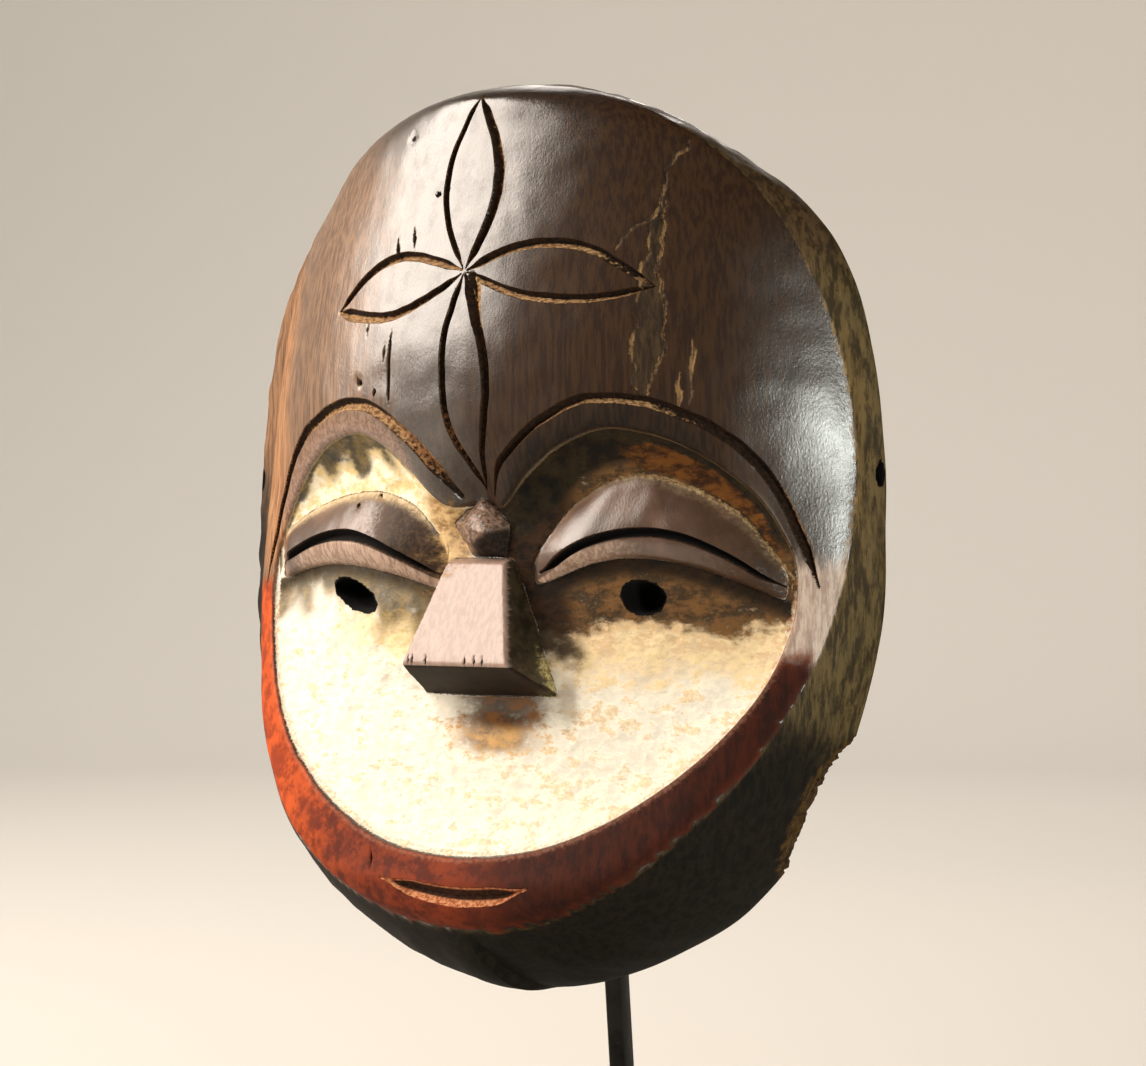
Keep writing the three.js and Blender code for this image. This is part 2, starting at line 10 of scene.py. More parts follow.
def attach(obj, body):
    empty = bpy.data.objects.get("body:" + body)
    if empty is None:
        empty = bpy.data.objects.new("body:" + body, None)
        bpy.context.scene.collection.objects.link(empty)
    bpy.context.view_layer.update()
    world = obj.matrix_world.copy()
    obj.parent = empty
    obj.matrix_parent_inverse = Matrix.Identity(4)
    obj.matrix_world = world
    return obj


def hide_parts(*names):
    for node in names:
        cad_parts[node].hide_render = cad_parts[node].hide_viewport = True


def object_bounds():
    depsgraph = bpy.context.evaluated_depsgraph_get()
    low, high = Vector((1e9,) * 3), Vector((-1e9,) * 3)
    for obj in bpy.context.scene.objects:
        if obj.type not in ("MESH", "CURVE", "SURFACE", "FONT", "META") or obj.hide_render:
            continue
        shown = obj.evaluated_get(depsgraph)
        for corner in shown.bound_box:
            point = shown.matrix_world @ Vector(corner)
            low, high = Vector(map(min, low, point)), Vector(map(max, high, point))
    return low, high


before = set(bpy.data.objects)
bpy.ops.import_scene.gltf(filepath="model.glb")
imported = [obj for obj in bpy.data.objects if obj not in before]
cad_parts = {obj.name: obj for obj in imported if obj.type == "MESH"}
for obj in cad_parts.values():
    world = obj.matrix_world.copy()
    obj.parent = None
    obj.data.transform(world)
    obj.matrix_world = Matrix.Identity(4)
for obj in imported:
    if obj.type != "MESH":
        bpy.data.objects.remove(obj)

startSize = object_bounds()
maskHeight = 242  # the mask's own centre above the floor, in mm

# Everything on the mask is measured in mm from its centre: x to the viewer's right, z up,
# and depth forwards from its flat back edge.
mask = {
    "ridgeHalfWidth": 107.5,
    "ridgeTop": 125.5,
    "ridgeBottom": 128.5,
    "leftTemple": (-0.018, 35, 50),
    "leftJaw": (0.034, -75, 45),
    "ridgeDepths": [
        (-128.5, 52), (-114, 50), (-100, 45.5), (-86, 36.8), (-68, 27), (-50, 18), (-29, 12), (-7.5, 7.5),
        (14, 5.2), (35, 5.9), (56, 8.2), (75, 11.5), (94, 14.5), (107, 20.7), (118, 24.7), (125.5, 27),
    ],
    "middleDepths": [
        (-128.5, 52), (-126, 56), (-120, 60), (-114, 61), (-107, 57.5), (-96, 53), (-80, 50.5), (-60, 49.5),
        (-30, 49.5), (0, 51.5), (25, 54), (44, 54.8), (68, 51.9), (93, 47), (112, 42.8), (119.8, 41),
        (122, 38), (124, 33), (125.5, 27),
    ],
    "sectionPowers": [
        (-128.5, 0.6), (-100, 0.6), (-60, 0.8), (-30, 0.9), (0, 0.9), (25, 0.86), (60, 0.98), (125.5, 1),
    ],
    "backEdge": [
        (0, 126.3), (14, 125), (30, 120), (55, 109), (70.5, 100), (85.5, 90), (96, 79), (104, 65), (110.5, 42),
        (114, 14), (114.5, -4), (113.5, -37), (109, -57), (101, -80), (90, -100), (77, -116.5), (64, -128),
        (48, -137), (26, -146.5), (0, -151.5),
    ],
    "sideBulge": 1.2,
    "chinBulgeLeft": 6,
    "chinBulgeRight": 2.8,
    "wallAtBackEdge": 12,
    "hollowDepths": [
        (-140, 12), (-125, 33), (-105, 41), (-80, 34), (-50, 23), (-28, 19), (0, 22), (20, 33), (45, 41),
        (75, 39), (100, 33), (113, 22),
    ],
    "valley": (10, 10, 13),
    # how deep the blade's marks are on the front, the sides, the back edge and in the hollow
    "toolMarks": 0.1,
    "sideMarks": 0.22,
    "backMarks": 0.12,
    "hollowMarks": 0.7,
}
face = {
    "centre": -42,
    "edge": [
        (0, -1), (9.5, -2), (21, 8), (29, 14.5), (39, 19.5), (46, 20.8), (54, 19.6), (62, 17), (70, 12.8),
        (77, 7.3), (84, 0.5), (89.6, -8), (94, -18), (95, -30), (93, -42), (86.5, -58.5), (75.6, -73.5),
        (61.7, -86), (45.7, -96), (26.6, -103.4), (0, -106.5),
    ],
    "step": 1.2,
    "sink": 5,
    "socketSink": 4.5,
    "run": 5.5,
    "lidHeight": 6.2,
    "lidTopPower": 0.72,
    "lidRamp": 20,
    # the lines of the left and the right lid, from the nose outwards
    "lidReach": {-1: (13, 93), 1: (18, 93)},
    "lidTop": {
        -1: [
            (13, -16), (14.2, -11), (17.9, -6), (23.1, -2.1), (32.5, 1.2), (42.7, 3.2), (54, 2.6), (66.8, 0.3),
            (81.5, -4.3), (93, -12),
        ],
        1: [
            (18, -20), (23.5, -9), (30, -2), (37.5, 3.5), (45.5, 6.8), (53.5, 7), (61, 4.6), (68, 1),
            (79, -5.5), (86, -12.5), (93, -27.5),
        ],
    },
    "lidSlit": {
        -1: [
            (13, -25), (23.3, -19.1), (36.5, -13.8), (44.7, -11.6), (53.6, -10.6), (62, -11.2), (72.7, -13.5),
            (87.8, -18.9), (93, -21.2),
        ],
        1: [
            (18, -23.8), (27, -18.5), (36, -13.5), (45, -10.7), (53, -9.8), (60.5, -10.3), (68.3, -12.6),
            (82.5, -20.2), (93, -28.5),
        ],
    },
    "lidBottom": {
        -1: [
            (13, -28.8), (20.7, -26.2), (28.9, -23.9), (38.7, -22), (49.2, -20.5), (60.8, -20), (73.8, -21.1),
            (88.7, -24.6), (93, -26),
        ],
        1: [(18, -27), (32, -21.2), (43, -18), (52.5, -17.6), (65.5, -20), (79, -25), (93, -31.5)],
    },
    "eyeHole": (52.4, -29.2),
    "eyeHoleFront": 13.6,
    "eyeHoleBack": 8.4,
    "eyeHoleRun": (18, 19),  # depth where each hole has its back width, and how far on it has its front width
    "eyeOvals": {-1: (1.3, 0.81, -1.05), 1: (0.98, 0.76, -0.15)},  # width, height and slant of each
}
cuts = {
    # how wide each cut is at its start, middle and end
    "flowerDepth": 2.6,
    "browDepth": 2.8,
    "browRight": (2.4, 3.5, 2.7),
    "browLeft": (4.4, 4.0, 2.6),
    "slitDepth": 4.2,
    "slitWidths": {-1: (1.2, 4.1, 2.6), 1: (3.2, 3.1, 1.6)},  # left and right eye, from the nose outwards
    "mouthDepth": 4,
    "mouthWidths": (4.6, 6.4, 5.4),
    "flowerCentre": (0.3, 67.6),
    "petals": [
        # tip, bow and widths of the first line, bow and widths of the second line
        ((-0.9, 121), 9.3, (2.0, 2.5, 1.7), 9.2, (2.8, 3.7, 2.6)),
        ((-54, 58.1), 7.2, (2.2, 3.2, 4.4), 10, (2.8, 3.2, 2.4)),
        ((57.7, 61.5), 10.7, (2.8, 3.2, 2.0), 6, (2.4, 3.2, 2.0)),
        ((2, 3), 8, (3.6, 3.0, 2.0), 7.4, (2.2, 2.7, 2.2)),
    ],
    "notch": [(3.4, 65.4), (4.6, 59), (6.4, 49)],
    "notchWidths": (6.4, 4.6, 2.6),
    "brow": [
        (6, 1), (11, 9), (17.5, 16), (26, 22.5), (35, 27.5), (45, 29.3), (56, 28), (66, 24.5), (76.5, 18.5),
        (84, 11), (90, 1.5), (94.5, -9), (98, -19), (100, -26),
    ],
    "mouth": [(-25, -113.4), (-13, -116), (2, -117.6), (16, -116.6), (26.2, -114.2)],
}
# Age has opened the grain on the right of the forehead, and worms have left a few holes.
damage = {
    "crack": [
        (61, 106.7), (60.4, 104.6), (60.6, 103.2), (57.8, 100.6), (57.3, 98.7), (55.9, 95.9), (56.6, 93),
        (56.4, 90.5), (56, 85), (54.1, 81.4), (50.7, 79.6), (47.7, 76.1), (46.2, 72.5),
    ],
    "scar": [
        (57.2, 88), (57.6, 85.9), (57.3, 82), (58.3, 78.4), (57.9, 75), (58.6, 72.4), (57.3, 69), (57.6, 66.5),
        (59.3, 61.5), (59.9, 57.8), (60.7, 54.7), (60.5, 49), (61.4, 42.9), (60, 39.8), (59.3, 37.1),
        (57.9, 33), (57.6, 29.8),
    ],
    "scarInner": [
        (56.2, 84), (54.4, 78), (55.3, 72), (53.2, 66), (53.9, 60), (52.3, 56), (53.7, 50), (52.6, 44),
        (53.8, 38), (53.2, 34), (55.4, 29.8),
    ],
    "flakes": [
        [(65.6, 36), (65.2, 33), (65.9, 29), (65.5, 25)],
        [(68.3, 46), (68.9, 42), (68.2, 36), (68.7, 31), (68.1, 26.5)],
    ],
    "nicks": [
        [(-27.8, 79.6), (-27.1, 75.5), (-26, 71.7)], [(-21.1, 82.5), (-20.4, 79), (-20, 75)],
        [(-26.6, 51), (-27.6, 41), (-27.8, 28.4)], [(-37.8, 54), (-38.3, 49.5)], [(-29.4, 47), (-30, 41.5)],
    ],
    "mouthNick": [(-31.4, -105), (-30.6, -108), (-29.7, -111.6)],
    "noseNicks": [-15.6, -14.2, -9.4, 4.6, 8, 10.8],
    "wormHoles": [(-12.4, 91.7), (-41, 35.2), (-34.3, 32.5), (-41, 1), (-50, -2), (-28, 110)],
    "breakLine": [
        (106.5, -67.5), (104.6, -69.8), (100.5, -73.5), (95.5, -79.5), (88, -93.5), (82, -107), (79.5, -115),
        (79.5, -119),
    ],
    "breakDepth": 16,
    "breakLean": 0.25,
}
nose = {
    "top": (10.2, 45.6, -19), "front": (-17.6, 19.8, 59.5, -49.5), "lipDepth": 39, "foot": -59.5,
    "leftFoot": 21.5, "rightFoot": 26.5,
    "worn": (2.4, 1.1, 1.5, 1.5),  # how round its lower, right, left and top edges are
}
knob = {
    "corners": [(-0.5, 0.5), (-10.8, -7.3), (-4.5, -16.8), (7, -17.2), (8.8, -7.6)],
    "peak": (4.6, 50.4, -9.8), "edgeDepth": 41.6, "footDepth": 30,
}
tieHole = {"from": 88, "to": 130, "depth": 2.1, "z": 7, "width": 1.9, "height": 6.8}
finish = {
    # distance between the mesh's points near a line, round it and elsewhere, and how far from it each kind lies
    "spacings": (0.55, 1.0, 1.9),
    "fineBand": (0.3, 1.9), "mediumBand": (2.1, 5), "coarseFrom": 5.4,
    "ringPoints": 416, "sideRows": 18, "rimRows": 6, "hollowRows": 30,
    "ridgeSoftness": 5,
    "crust": 0.42, "lumps": 0.18,  # how thick the clay's flakes and lumps are
}


def curveThrough(points):
    xs, ys = np.array(points, float).T
    slopes = np.diff(ys) / np.diff(xs)
    product = slopes[:-1] * slopes[1:]
    total = slopes[:-1] + slopes[1:]
    inner = np.where(product > 0, 2 * product / np.where(total == 0, 1, total), 0)
    tangents = np.concatenate([slopes[:1], inner, slopes[-1:]])

    def at(value):
        x = np.clip(value, xs[0], xs[-1])
        i = np.clip(np.searchsorted(xs, x, side="right") - 1, 0, len(xs) - 2)
        span = xs[i + 1] - xs[i]
        t = (x - xs[i]) / span
        start = ys[i] * (1 + 2 * t) * (1 - t) ** 2 + tangents[i] * span * t * (1 - t) ** 2
        return start + ys[i + 1] * t * t * (3 - 2 * t) + tangents[i + 1] * span * t * t * (t - 1)

    return at


def smoothLine(points, closed=False, spacing=0.7):
    p = np.array(points, float)
    ring = np.vstack([p[-1:], p, p[:2]]) if closed else np.vstack([2 * p[0] - p[1], p, 2 * p[-1] - p[-2]])
    out = []
    for i in range(len(ring) - 3):
        a, b, c, d = ring[i : i + 4]
        s, u, v = [max(np.linalg.norm(q - r), 1e-6) ** 0.5 for q, r in ((b, a), (c, b), (d, c))]
        m = ((b - a) / s - (c - a) / (s + u) + (c - b) / u) * u
        n = ((c - b) / u - (d - b) / (u + v) + (d - c) / v) * u
        count = max(1, math.ceil(np.linalg.norm(c - b) / spacing))
        t = (np.arange(count) / count)[:, None]
        out.append(b + m * t + (3 * (c - b) - 2 * m - n) * t**2 + (2 * (b - c) + m + n) * t**3)
    if not closed:
        out.append(p[-1:])
    return np.vstack(out)


def wobble(points, amount, length, seed):
    # small waves of a hand-held blade along a line
    rng = np.random.default_rng(seed)
    run = np.concatenate([[0], np.cumsum(np.linalg.norm(np.diff(points, axis=0), axis=1))])
    shift = np.zeros((len(points), 2))
    for k in range(4):
        sideways, phase = rng.normal(size=2), rng.uniform(0, 6.28)
        shift += sideways * np.sin(run * 2 * math.pi * (k + 1) / length + phase)[:, None] / (k + 1)
    return points + amount * shift


def waves(p, length, seed, count=14, stretch=(1, 1)):
    # smooth noise from waves of mixed directions, about -1 to 1
    rng = np.random.default_rng(seed)
    total = np.zeros(len(p))
    for _ in range(count):
        angle = rng.uniform(0, math.pi)
        size = 2 * math.pi / (length * rng.uniform(0.7, 1.6))
        across = p[:, 0] * size * math.cos(angle) / stretch[0]
        up = p[:, 1] * size * math.sin(angle) / stretch[1]
        total += np.sin(across + up + rng.uniform(0, 6.28))
    return total / math.sqrt(count) * 1.2


def lineDistance(p, line):
    # distance to a polyline and how far along it the nearest point is
    best = np.full(len(p), 1e9)
    along = np.zeros(len(p))
    run = np.concatenate([[0], np.cumsum(np.linalg.norm(np.diff(line, axis=0), axis=1))])
    low, high = line.min(axis=0) - 9, line.max(axis=0) + 9
    near = np.where(((p >= low) & (p <= high)).all(axis=1))[0]
    q = p[near]
    nearest = np.full(len(q), 1e9)
    place = np.zeros(len(q))
    for i in range(len(line) - 1):
        a, d = line[i], line[i + 1] - line[i]
        t = np.clip(((q - a) @ d) / (d @ d), 0, 1)
        distance = np.linalg.norm(q - a - t[:, None] * d, axis=1)
        closer = distance < nearest
        nearest[closer] = distance[closer]
        place[closer] = run[i] + t[closer] * (run[i + 1] - run[i])
    best[near] = nearest
    along[near] = place
    return best, along, run[-1]


def insideOutline(p, outline):
    # distance to a closed outline, positive inside
    loop = np.vstack([outline, outline[:1]])
    nearest = np.full(len(p), 1e9)
    inside = np.zeros(len(p), bool)
    for a, b in zip(loop[:-1], loop[1:]):
        d = b - a
        t = np.clip(((p - a) @ d) / max(d @ d, 1e-9), 0, 1)
        nearest = np.minimum(nearest, np.linalg.norm(p - a - t[:, None] * d, axis=1))
        if d[1] != 0:
            crossing = (a[1] > p[:, 1]) != (b[1] > p[:, 1])
            inside ^= crossing & (p[:, 0] < a[0] + (p[:, 1] - a[1]) / d[1] * d[0])
    return np.where(inside, nearest, -nearest)


def smoothStep(value, low, high):
    t = np.clip((value - low) / (high - low), 0, 1)
    return t * t * (3 - 2 * t)


def bell(value, width):
    return np.exp(-((value / width) ** 2))


def softMax(a, b, blend):
    return (a + b + np.sqrt((a - b) ** 2 + blend**2)) / 2


def softMin(a, b, blend):
    return -softMax(-a, -b, blend)


ridgeDepth = curveThrough(mask["ridgeDepths"])
middleDepth = curveThrough(mask["middleDepths"])
sectionPower = curveThrough(mask["sectionPowers"])
hollowDepth = curveThrough(mask["hollowDepths"])
lidNames = ("lidTop", "lidSlit", "lidBottom")
lidCurves = {(name, side): curveThrough(face[name][side]) for name in lidNames for side in (-1, 1)}


def lidLine(name, x):
    # the mean of near points, so that no corner of the line shows in the shine
    near = [np.abs(x) + step for step in (-7, -4.5, -2, 0, 2, 4.5, 7)]
    right, left = (np.mean([lidCurves[name, side](v) for v in near], axis=0) for side in (1, -1))
    return np.where(x > 0, right, left)


def mirrored(points):
    return [(-x, z) for x, z in points]


def ridgeWidth(x, z):
    up = z > 0
    reach = np.where(up, mask["ridgeTop"], mask["ridgeBottom"])
    power = np.where(up, 2.2, 2.0)
    half = mask["ridgeHalfWidth"] * np.maximum(0, 1 - (np.abs(z) / reach) ** power) ** (1 / power)
    share, at, spread = mask["leftTemple"]
    jaw, jawAt, jawSpread = mask["leftJaw"]
    left = 1 + share * bell(z - at, spread) + jaw * bell(z - jawAt, jawSpread)
    return np.where(x < 0, half * left, half)


def blockDepth(p):
    x, z = p.T
    across = np.minimum(1, np.abs(x) / np.maximum(ridgeWidth(x, z), 1e-6))
    edge = ridgeDepth(z)
    deep, halfWidth, halfHeight = mask["valley"]
    dip = deep * bell(x, halfWidth) * bell(z, halfHeight)
    return edge + (middleDepth(z) - edge) * (1 - across**2) ** sectionPower(z) - dip


turn = 2 * math.pi
right = np.array(mask["backEdge"], float)
whole = np.vstack([right, right[1:-1] * (-1, 1)])
order = np.argsort(np.arctan2(whole[:, 1], whole[:, 0]) % turn)
angles = (np.arctan2(whole[:, 1], whole[:, 0]) % turn)[order]
radii = np.linalg.norm(whole, axis=1)[order]
backCurve = curveThrough(
    [(angles[-1] - turn, radii[-1])] + list(zip(angles, radii)) + [(angles[0] + turn, radii[0])]
)


def backRadius(angle):
    return backCurve(angle % turn)


def innerDepth(p):
    x, z = p.T
    reach = np.hypot(x, z) / (backRadius(np.arctan2(z, x)) - mask["wallAtBackEdge"])
    edge = np.maximum(0, 1 - reach**2) ** 0.75
    across = np.minimum(1, np.abs(x) / (mask["ridgeHalfWidth"] - mask["wallAtBackEdge"]))
    return np.minimum(hollowDepth(z) * (1 - across**2) ** 0.75, 60 * edge) + 0.5


# each cut is its line, its widths, its depth, how long its tapered ends are and how full they stay
faceLine = smoothLine(face["edge"] + [(-x, z) for x, z in face["edge"][-2:0:-1]], closed=True)
flower = []
cx, cz = cuts["flowerCentre"]
for number, (tip, firstBow, firstWidths, secondBow, secondWidths) in enumerate(cuts["petals"]):
    dx, dz = tip[0] - cx, tip[1] - cz
    length = math.hypot(dx, dz)
    for bow, widths in ((firstBow, firstWidths), (-secondBow, secondWidths)):
        share = 0.02 + 0.98 * np.linspace(0, 1, 9)
        offset = bow * np.sin(math.pi * share)
        along, up = cx + dx * share - dz / length * offset, cz + dz * share + dx / length * offset
        line = wobble(smoothLine(np.stack([along, up], axis=1)), 0.12, 26, 10 * number + (bow > 0))
        flower.append((line, widths, cuts["flowerDepth"], 6, 0.3))
flower.append((smoothLine(cuts["notch"]), cuts["notchWidths"], cuts["flowerDepth"], 3, 0.6))
brows = [
    (wobble(smoothLine(cuts["brow"]), 0.15, 34, 50), cuts["browRight"], cuts["browDepth"], 12, 0.35),
    (wobble(smoothLine(mirrored(cuts["brow"])), 0.15, 34, 51), cuts["browLeft"], cuts["browDepth"], 12, 0.35),
]
slits = []
for side in (-1, 1):
    reach = side * np.linspace(face["lidReach"][side][0] + 2, face["lidReach"][side][1] - 2, 60)
    line = np.stack([reach, lidLine("lidSlit", reach)], axis=1)
    slits.append((line, cuts["slitWidths"][side], cuts["slitDepth"], 8, 0.3))
mouth = (smoothLine(cuts["mouth"]), cuts["mouthWidths"], cuts["mouthDepth"], 12, 0.25)
crack = wobble(smoothLine(damage["crack"], spacing=0.5), 0.12, 5, 60)
scar = wobble(smoothLine(damage["scar"], spacing=0.5), 0.25, 6, 61)
scarInner = wobble(smoothLine(damage["scarInner"], spacing=0.5), 0.3, 7, 62)
scarPatch = np.vstack([scar, scarInner[::-1]])
flakes = [wobble(smoothLine(line, spacing=0.5), 0.15, 6, 63 + k) for k, line in enumerate(damage["flakes"])]
scars = [
    (crack, (0.7, 0.9, 0.7), 0.5, 4, 0.3),
    (scar, (0.8, 1.1, 0.8), 0.7, 4, 0.3),
    (scarInner, (0.6, 0.9, 0.6), 0.35, 4, 0.3),
]
scars += [(line, (0.9, 1.5, 0.8), 0.4, 4, 0.3) for line in flakes]
nickLines = damage["nicks"] + [damage["mouthNick"]]
nicks = [(smoothLine(line, spacing=0.5), (0.8, 1.4, 0.8), 0.9, 4, 0.2) for line in nickLines]
noseNicks = [np.array([(x, -46.6), (x + 0.1, -48), (x, -49.6)]) for x in damage["noseNicks"]]
nicks += [(line, (0.3, 0.7, 0.9), 1.0, 1.5, 0.3) for line in noseNicks]
lidOutlines = []
for side in (-1, 1):
    reach = side * np.linspace(*face["lidReach"][side], 60)
    upper = np.stack([reach, lidLine("lidTop", reach)], axis=1)
    lower = np.stack([reach, lidLine("lidBottom", reach)], axis=1)
    lidOutlines.append(np.vstack([upper, lower[::-1]]))


def planeThrough(a, b, c):
    # depth of a plane over (x, z)
    a, b, c = (np.array(q, float) for q in (a, b, c))
    n = np.cross(b - a, c - a)
    return lambda x, z: a[1] - (n[0] * (x - a[0]) + n[2] * (z - a[2])) / n[1]


topHalf, topDepth, topZ = nose["top"]
frontLeft, frontRight, frontDepth, frontZ = nose["front"]
lip, footZ = nose["lipDepth"], nose["foot"]
nosePlanes = [
    planeThrough((-topHalf, topDepth, topZ), (topHalf, topDepth, topZ), (frontRight, frontDepth, frontZ)),
    planeThrough((frontLeft, frontDepth, frontZ), (frontRight, frontDepth, frontZ), (0, lip, footZ)),
    planeThrough((frontRight, frontDepth, frontZ), (topHalf, topDepth, topZ), (nose["rightFoot"], lip, footZ)),
    planeThrough((frontLeft, frontDepth, frontZ), (-topHalf, topDepth, topZ), (-nose["leftFoot"], lip, footZ)),
    planeThrough((-topHalf, topDepth, topZ), (topHalf, topDepth, topZ), (0, 30, topZ + 3)),
]
knobMiddle = np.mean(knob["corners"], axis=0)
knobPlanes = []
for a, b in zip(knob["corners"], knob["corners"][1:] + knob["corners"][:1]):
    # a facet up to the peak and a steep one down to the face
    first, second = (a[0], knob["edgeDepth"], a[1]), (b[0], knob["edgeDepth"], b[1])
    outside = (np.add(a, b) / 2 - knobMiddle) * 1.35 + knobMiddle
    knobPlanes.append(planeThrough(knob["peak"], first, second))
    knobPlanes.append(planeThrough(first, second, (outside[0], knob["footDepth"], outside[1])))


def noseDepth(p):
    x, z = p.T
    depth = nosePlanes[0](x, z)
    for plane, worn in zip(nosePlanes[1:], nose["worn"]):
        depth = softMin(depth, plane(x, z), worn)
    return depth


def knobDepth(p):
    x, z = p.T
    depth = knobPlanes[0](x, z)
    for plane in knobPlanes[1:]:
        depth = softMin(depth, plane(x, z), 1.7)
    return depth + 0.42 * waves(p, 6, 77) + 0.14 * waves(p, 2.5, 78)


def cutShape(along, length, widths, taper, ends):
    fullness = ends + (1 - ends) * smoothStep(np.minimum(along, length - along), 0, taper)
    return np.interp(along / length, (0, 0.5, 1), widths) / 2 * fullness, fullness


def vCut(p, cut):
    line, widths, depth, taper, ends = cut
    distance, along, length = lineDistance(p, line)
    half, fullness = cutShape(along, length, widths, taper, ends)
    return depth * fullness * np.maximum(0, 1 - distance / half) ** 0.7, distance - half


def cutEdges(cut):
    # the two upper edges of a cut
    line, widths, depth, taper, ends = cut
    steps = np.gradient(line, axis=0)
    steps /= np.linalg.norm(steps, axis=1)[:, None]
    run = np.concatenate([[0], np.cumsum(np.linalg.norm(np.diff(line, axis=0), axis=1))])
    half, _ = cutShape(run, run[-1], widths, taper, ends)
    across = np.stack([-steps[:, 1], steps[:, 0]], axis=1) * half[:, None]
    return [line + across, line - across]


def carvedFace(p):
    # depth of the front with its lids, before the nose, the knob and the cuts
    x, z = p.T
    inside = insideOutline(p, faceLine)
    base = blockDepth(p)
    ramp = 1 - np.exp(-softMax(inside, 0, 0.3 + 1.8 * smoothStep(z, -25, -5)) / face["run"])
    socket = face["socketSink"] * smoothStep(z, -16, 2)
    noseSide = 4 * bell(x, 24) * smoothStep(z, -75, -55) * smoothStep(-z, 0, 10)
    edge = 0.5 * smoothStep(z, -25, -5)
    step = face["step"] * smoothStep(inside, -0.35 - edge, 0.75 + edge)
    floor = base - step - (face["sink"] + socket + noseSide) * ramp
    marks = mask["toolMarks"] * waves(p, 13, 3) + 0.5 * mask["toolMarks"] * waves(p, 6, 4, stretch=(1, 1.8))
    floor += marks * (0.6 + 0.5 * smoothStep(inside, 0, 4))
    out = np.abs(x)
    low = np.where(x > 0, face["lidReach"][1][0], face["lidReach"][-1][0])
    high = face["lidReach"][1][1]
    ends = smoothStep(out, low - 5, low + face["lidRamp"]) * (1 - smoothStep(out, high - 9, high))
    top, slit, bottom = (lidLine(name, x) for name in lidNames)
    above, below = (z - slit) / np.maximum(top - slit, 0.1), (slit - z) / np.maximum(slit - bottom, 0.1)
    across = np.where(z > slit, above, below)
    onLid = (out > low) & (out < high)
    bulge = np.maximum(0, 1 - across**2) ** np.where(z > slit, face["lidTopPower"], 0.5)
    swell = np.where(onLid, face["lidHeight"] * ends * bulge - 0.6, -3)
    swell = np.where(across > 1, -0.6 - 3 * (across - 1), swell)
    lidFacts = {
        "lidLift": np.clip(np.where(onLid, swell, -3), -3, 8),
        "lidTopGap": np.clip(np.where((out > low - 6) & (out < high + 3), z - top, 20), -20, 20),
        "belowSlit": np.where(onLid, slit - z, -9),
        "belowLid": np.where(onLid, bottom - z, -9),
    }
    return softMax(floor, floor + swell, 0.35), inside, marks, lidFacts


def surface(p):
    # depth of the carved front, and what the materials need to know about each point
    depth, inside, marks, facts = carvedFace(p)
    groove = np.zeros(len(p))
    for cut in flower + brows:
        groove = np.maximum(groove, vCut(p, cut)[0])
    slitCut = np.maximum(vCut(p, slits[0])[0], vCut(p, slits[1])[0])
    mouthCut = vCut(p, mouth)[0]
    raw = np.zeros(len(p))
    split = np.zeros(len(p))
    for cut in scars:
        deep, distance = vCut(p, cut)
        split = np.maximum(split, deep)
        raw = np.maximum(raw, np.clip(0.5 - distance / 0.4, 0, 1))
    nicked = np.zeros(len(p))
    for cut in nicks:
        nicked = np.maximum(nicked, vCut(p, cut)[0])
    patch = insideOutline(p, scarPatch)
    flaked = smoothStep(patch, -0.2, 0.9) * (0.3 + 0.16 * waves(p, 4, 8, stretch=(1, 5)))
    flakedIn = smoothStep(patch, -0.3, 0.5)
    pits = np.zeros(len(p))
    for spot in damage["wormHoles"]:
        pits = np.maximum(pits, smoothStep(-np.linalg.norm(p - spot, axis=1), -0.85, -0.35))
    noseHeight, knobHeight = noseDepth(p), knobDepth(p)
    facts.update({
        "faceIn": np.clip(inside, -30, 30),
        "noseLift": np.clip(noseHeight - depth, -45, 20),
        "knobLift": np.clip(knobHeight - depth, -3, 12),
        "groove": groove / cuts["flowerDepth"],
        "slit": slitCut / cuts["slitDepth"],
        "mouth": mouthCut / cuts["mouthDepth"],
        "raw": raw,
        "flaked": flakedIn,
        "split": nicked + pits,
    })
    depth = softMax(depth, noseHeight + 0.4 * marks, 0.5)
    depth = softMax(depth, knobHeight, 0.6)
    return depth - groove - slitCut - mouthCut - split - nicked - flaked - 2 * pits, facts


print("mask: outlines and lines are ready")


def reachOut(directions, isInside, centre=(0, face["centre"]), far=200.0):
    low = np.zeros(len(directions))
    high = np.full(len(directions), far)
    for _ in range(40):
        middle = (low + high) / 2
        ok = isInside(directions * middle[:, None] + centre)
        low, high = np.where(ok, middle, low), np.where(ok, high, middle)
    return low[:, None] * directions + centre


def insideRidge(p):
    x, z = p.T
    return (z > -mask["ridgeBottom"]) & (z < mask["ridgeTop"]) & (np.abs(x) < ridgeWidth(x, z))


def insideBack(p):
    return np.linalg.norm(p, axis=1) < backRadius(np.arctan2(p[:, 1], p[:, 0]))


# directions from the face's centre, evenly spaced along the ridge
many = np.linspace(0, turn, 4000, endpoint=False)
loop = reachOut(np.stack([np.cos(many), np.sin(many)], axis=1), insideRidge)
ringCount = finish["ringPoints"]
run = np.concatenate([[0], np.cumsum(np.linalg.norm(np.diff(np.vstack([loop, loop[:1]]), axis=0), axis=1))])
ringAngles = np.interp(np.arange(ringCount) / ringCount * run[-1], run, np.append(many, turn))
directions = np.stack([np.cos(ringAngles), np.sin(ringAngles)], axis=1)
ridge = reachOut(directions, insideRidge)
back = reachOut(directions, insideBack)


def hexPoints(spacing, seed):
    rows = np.arange(-130, 130, spacing * 0.866)
    rng = np.random.default_rng(seed)
    points = []
    for number, z in enumerate(rows):
        x = np.arange(-115, 115, spacing) + (number % 2) * spacing / 2
        points.append(np.stack([x, np.full(len(x), z)], axis=1))
    points = np.vstack(points)
    return points + rng.uniform(-0.12, 0.12, points.shape) * spacing


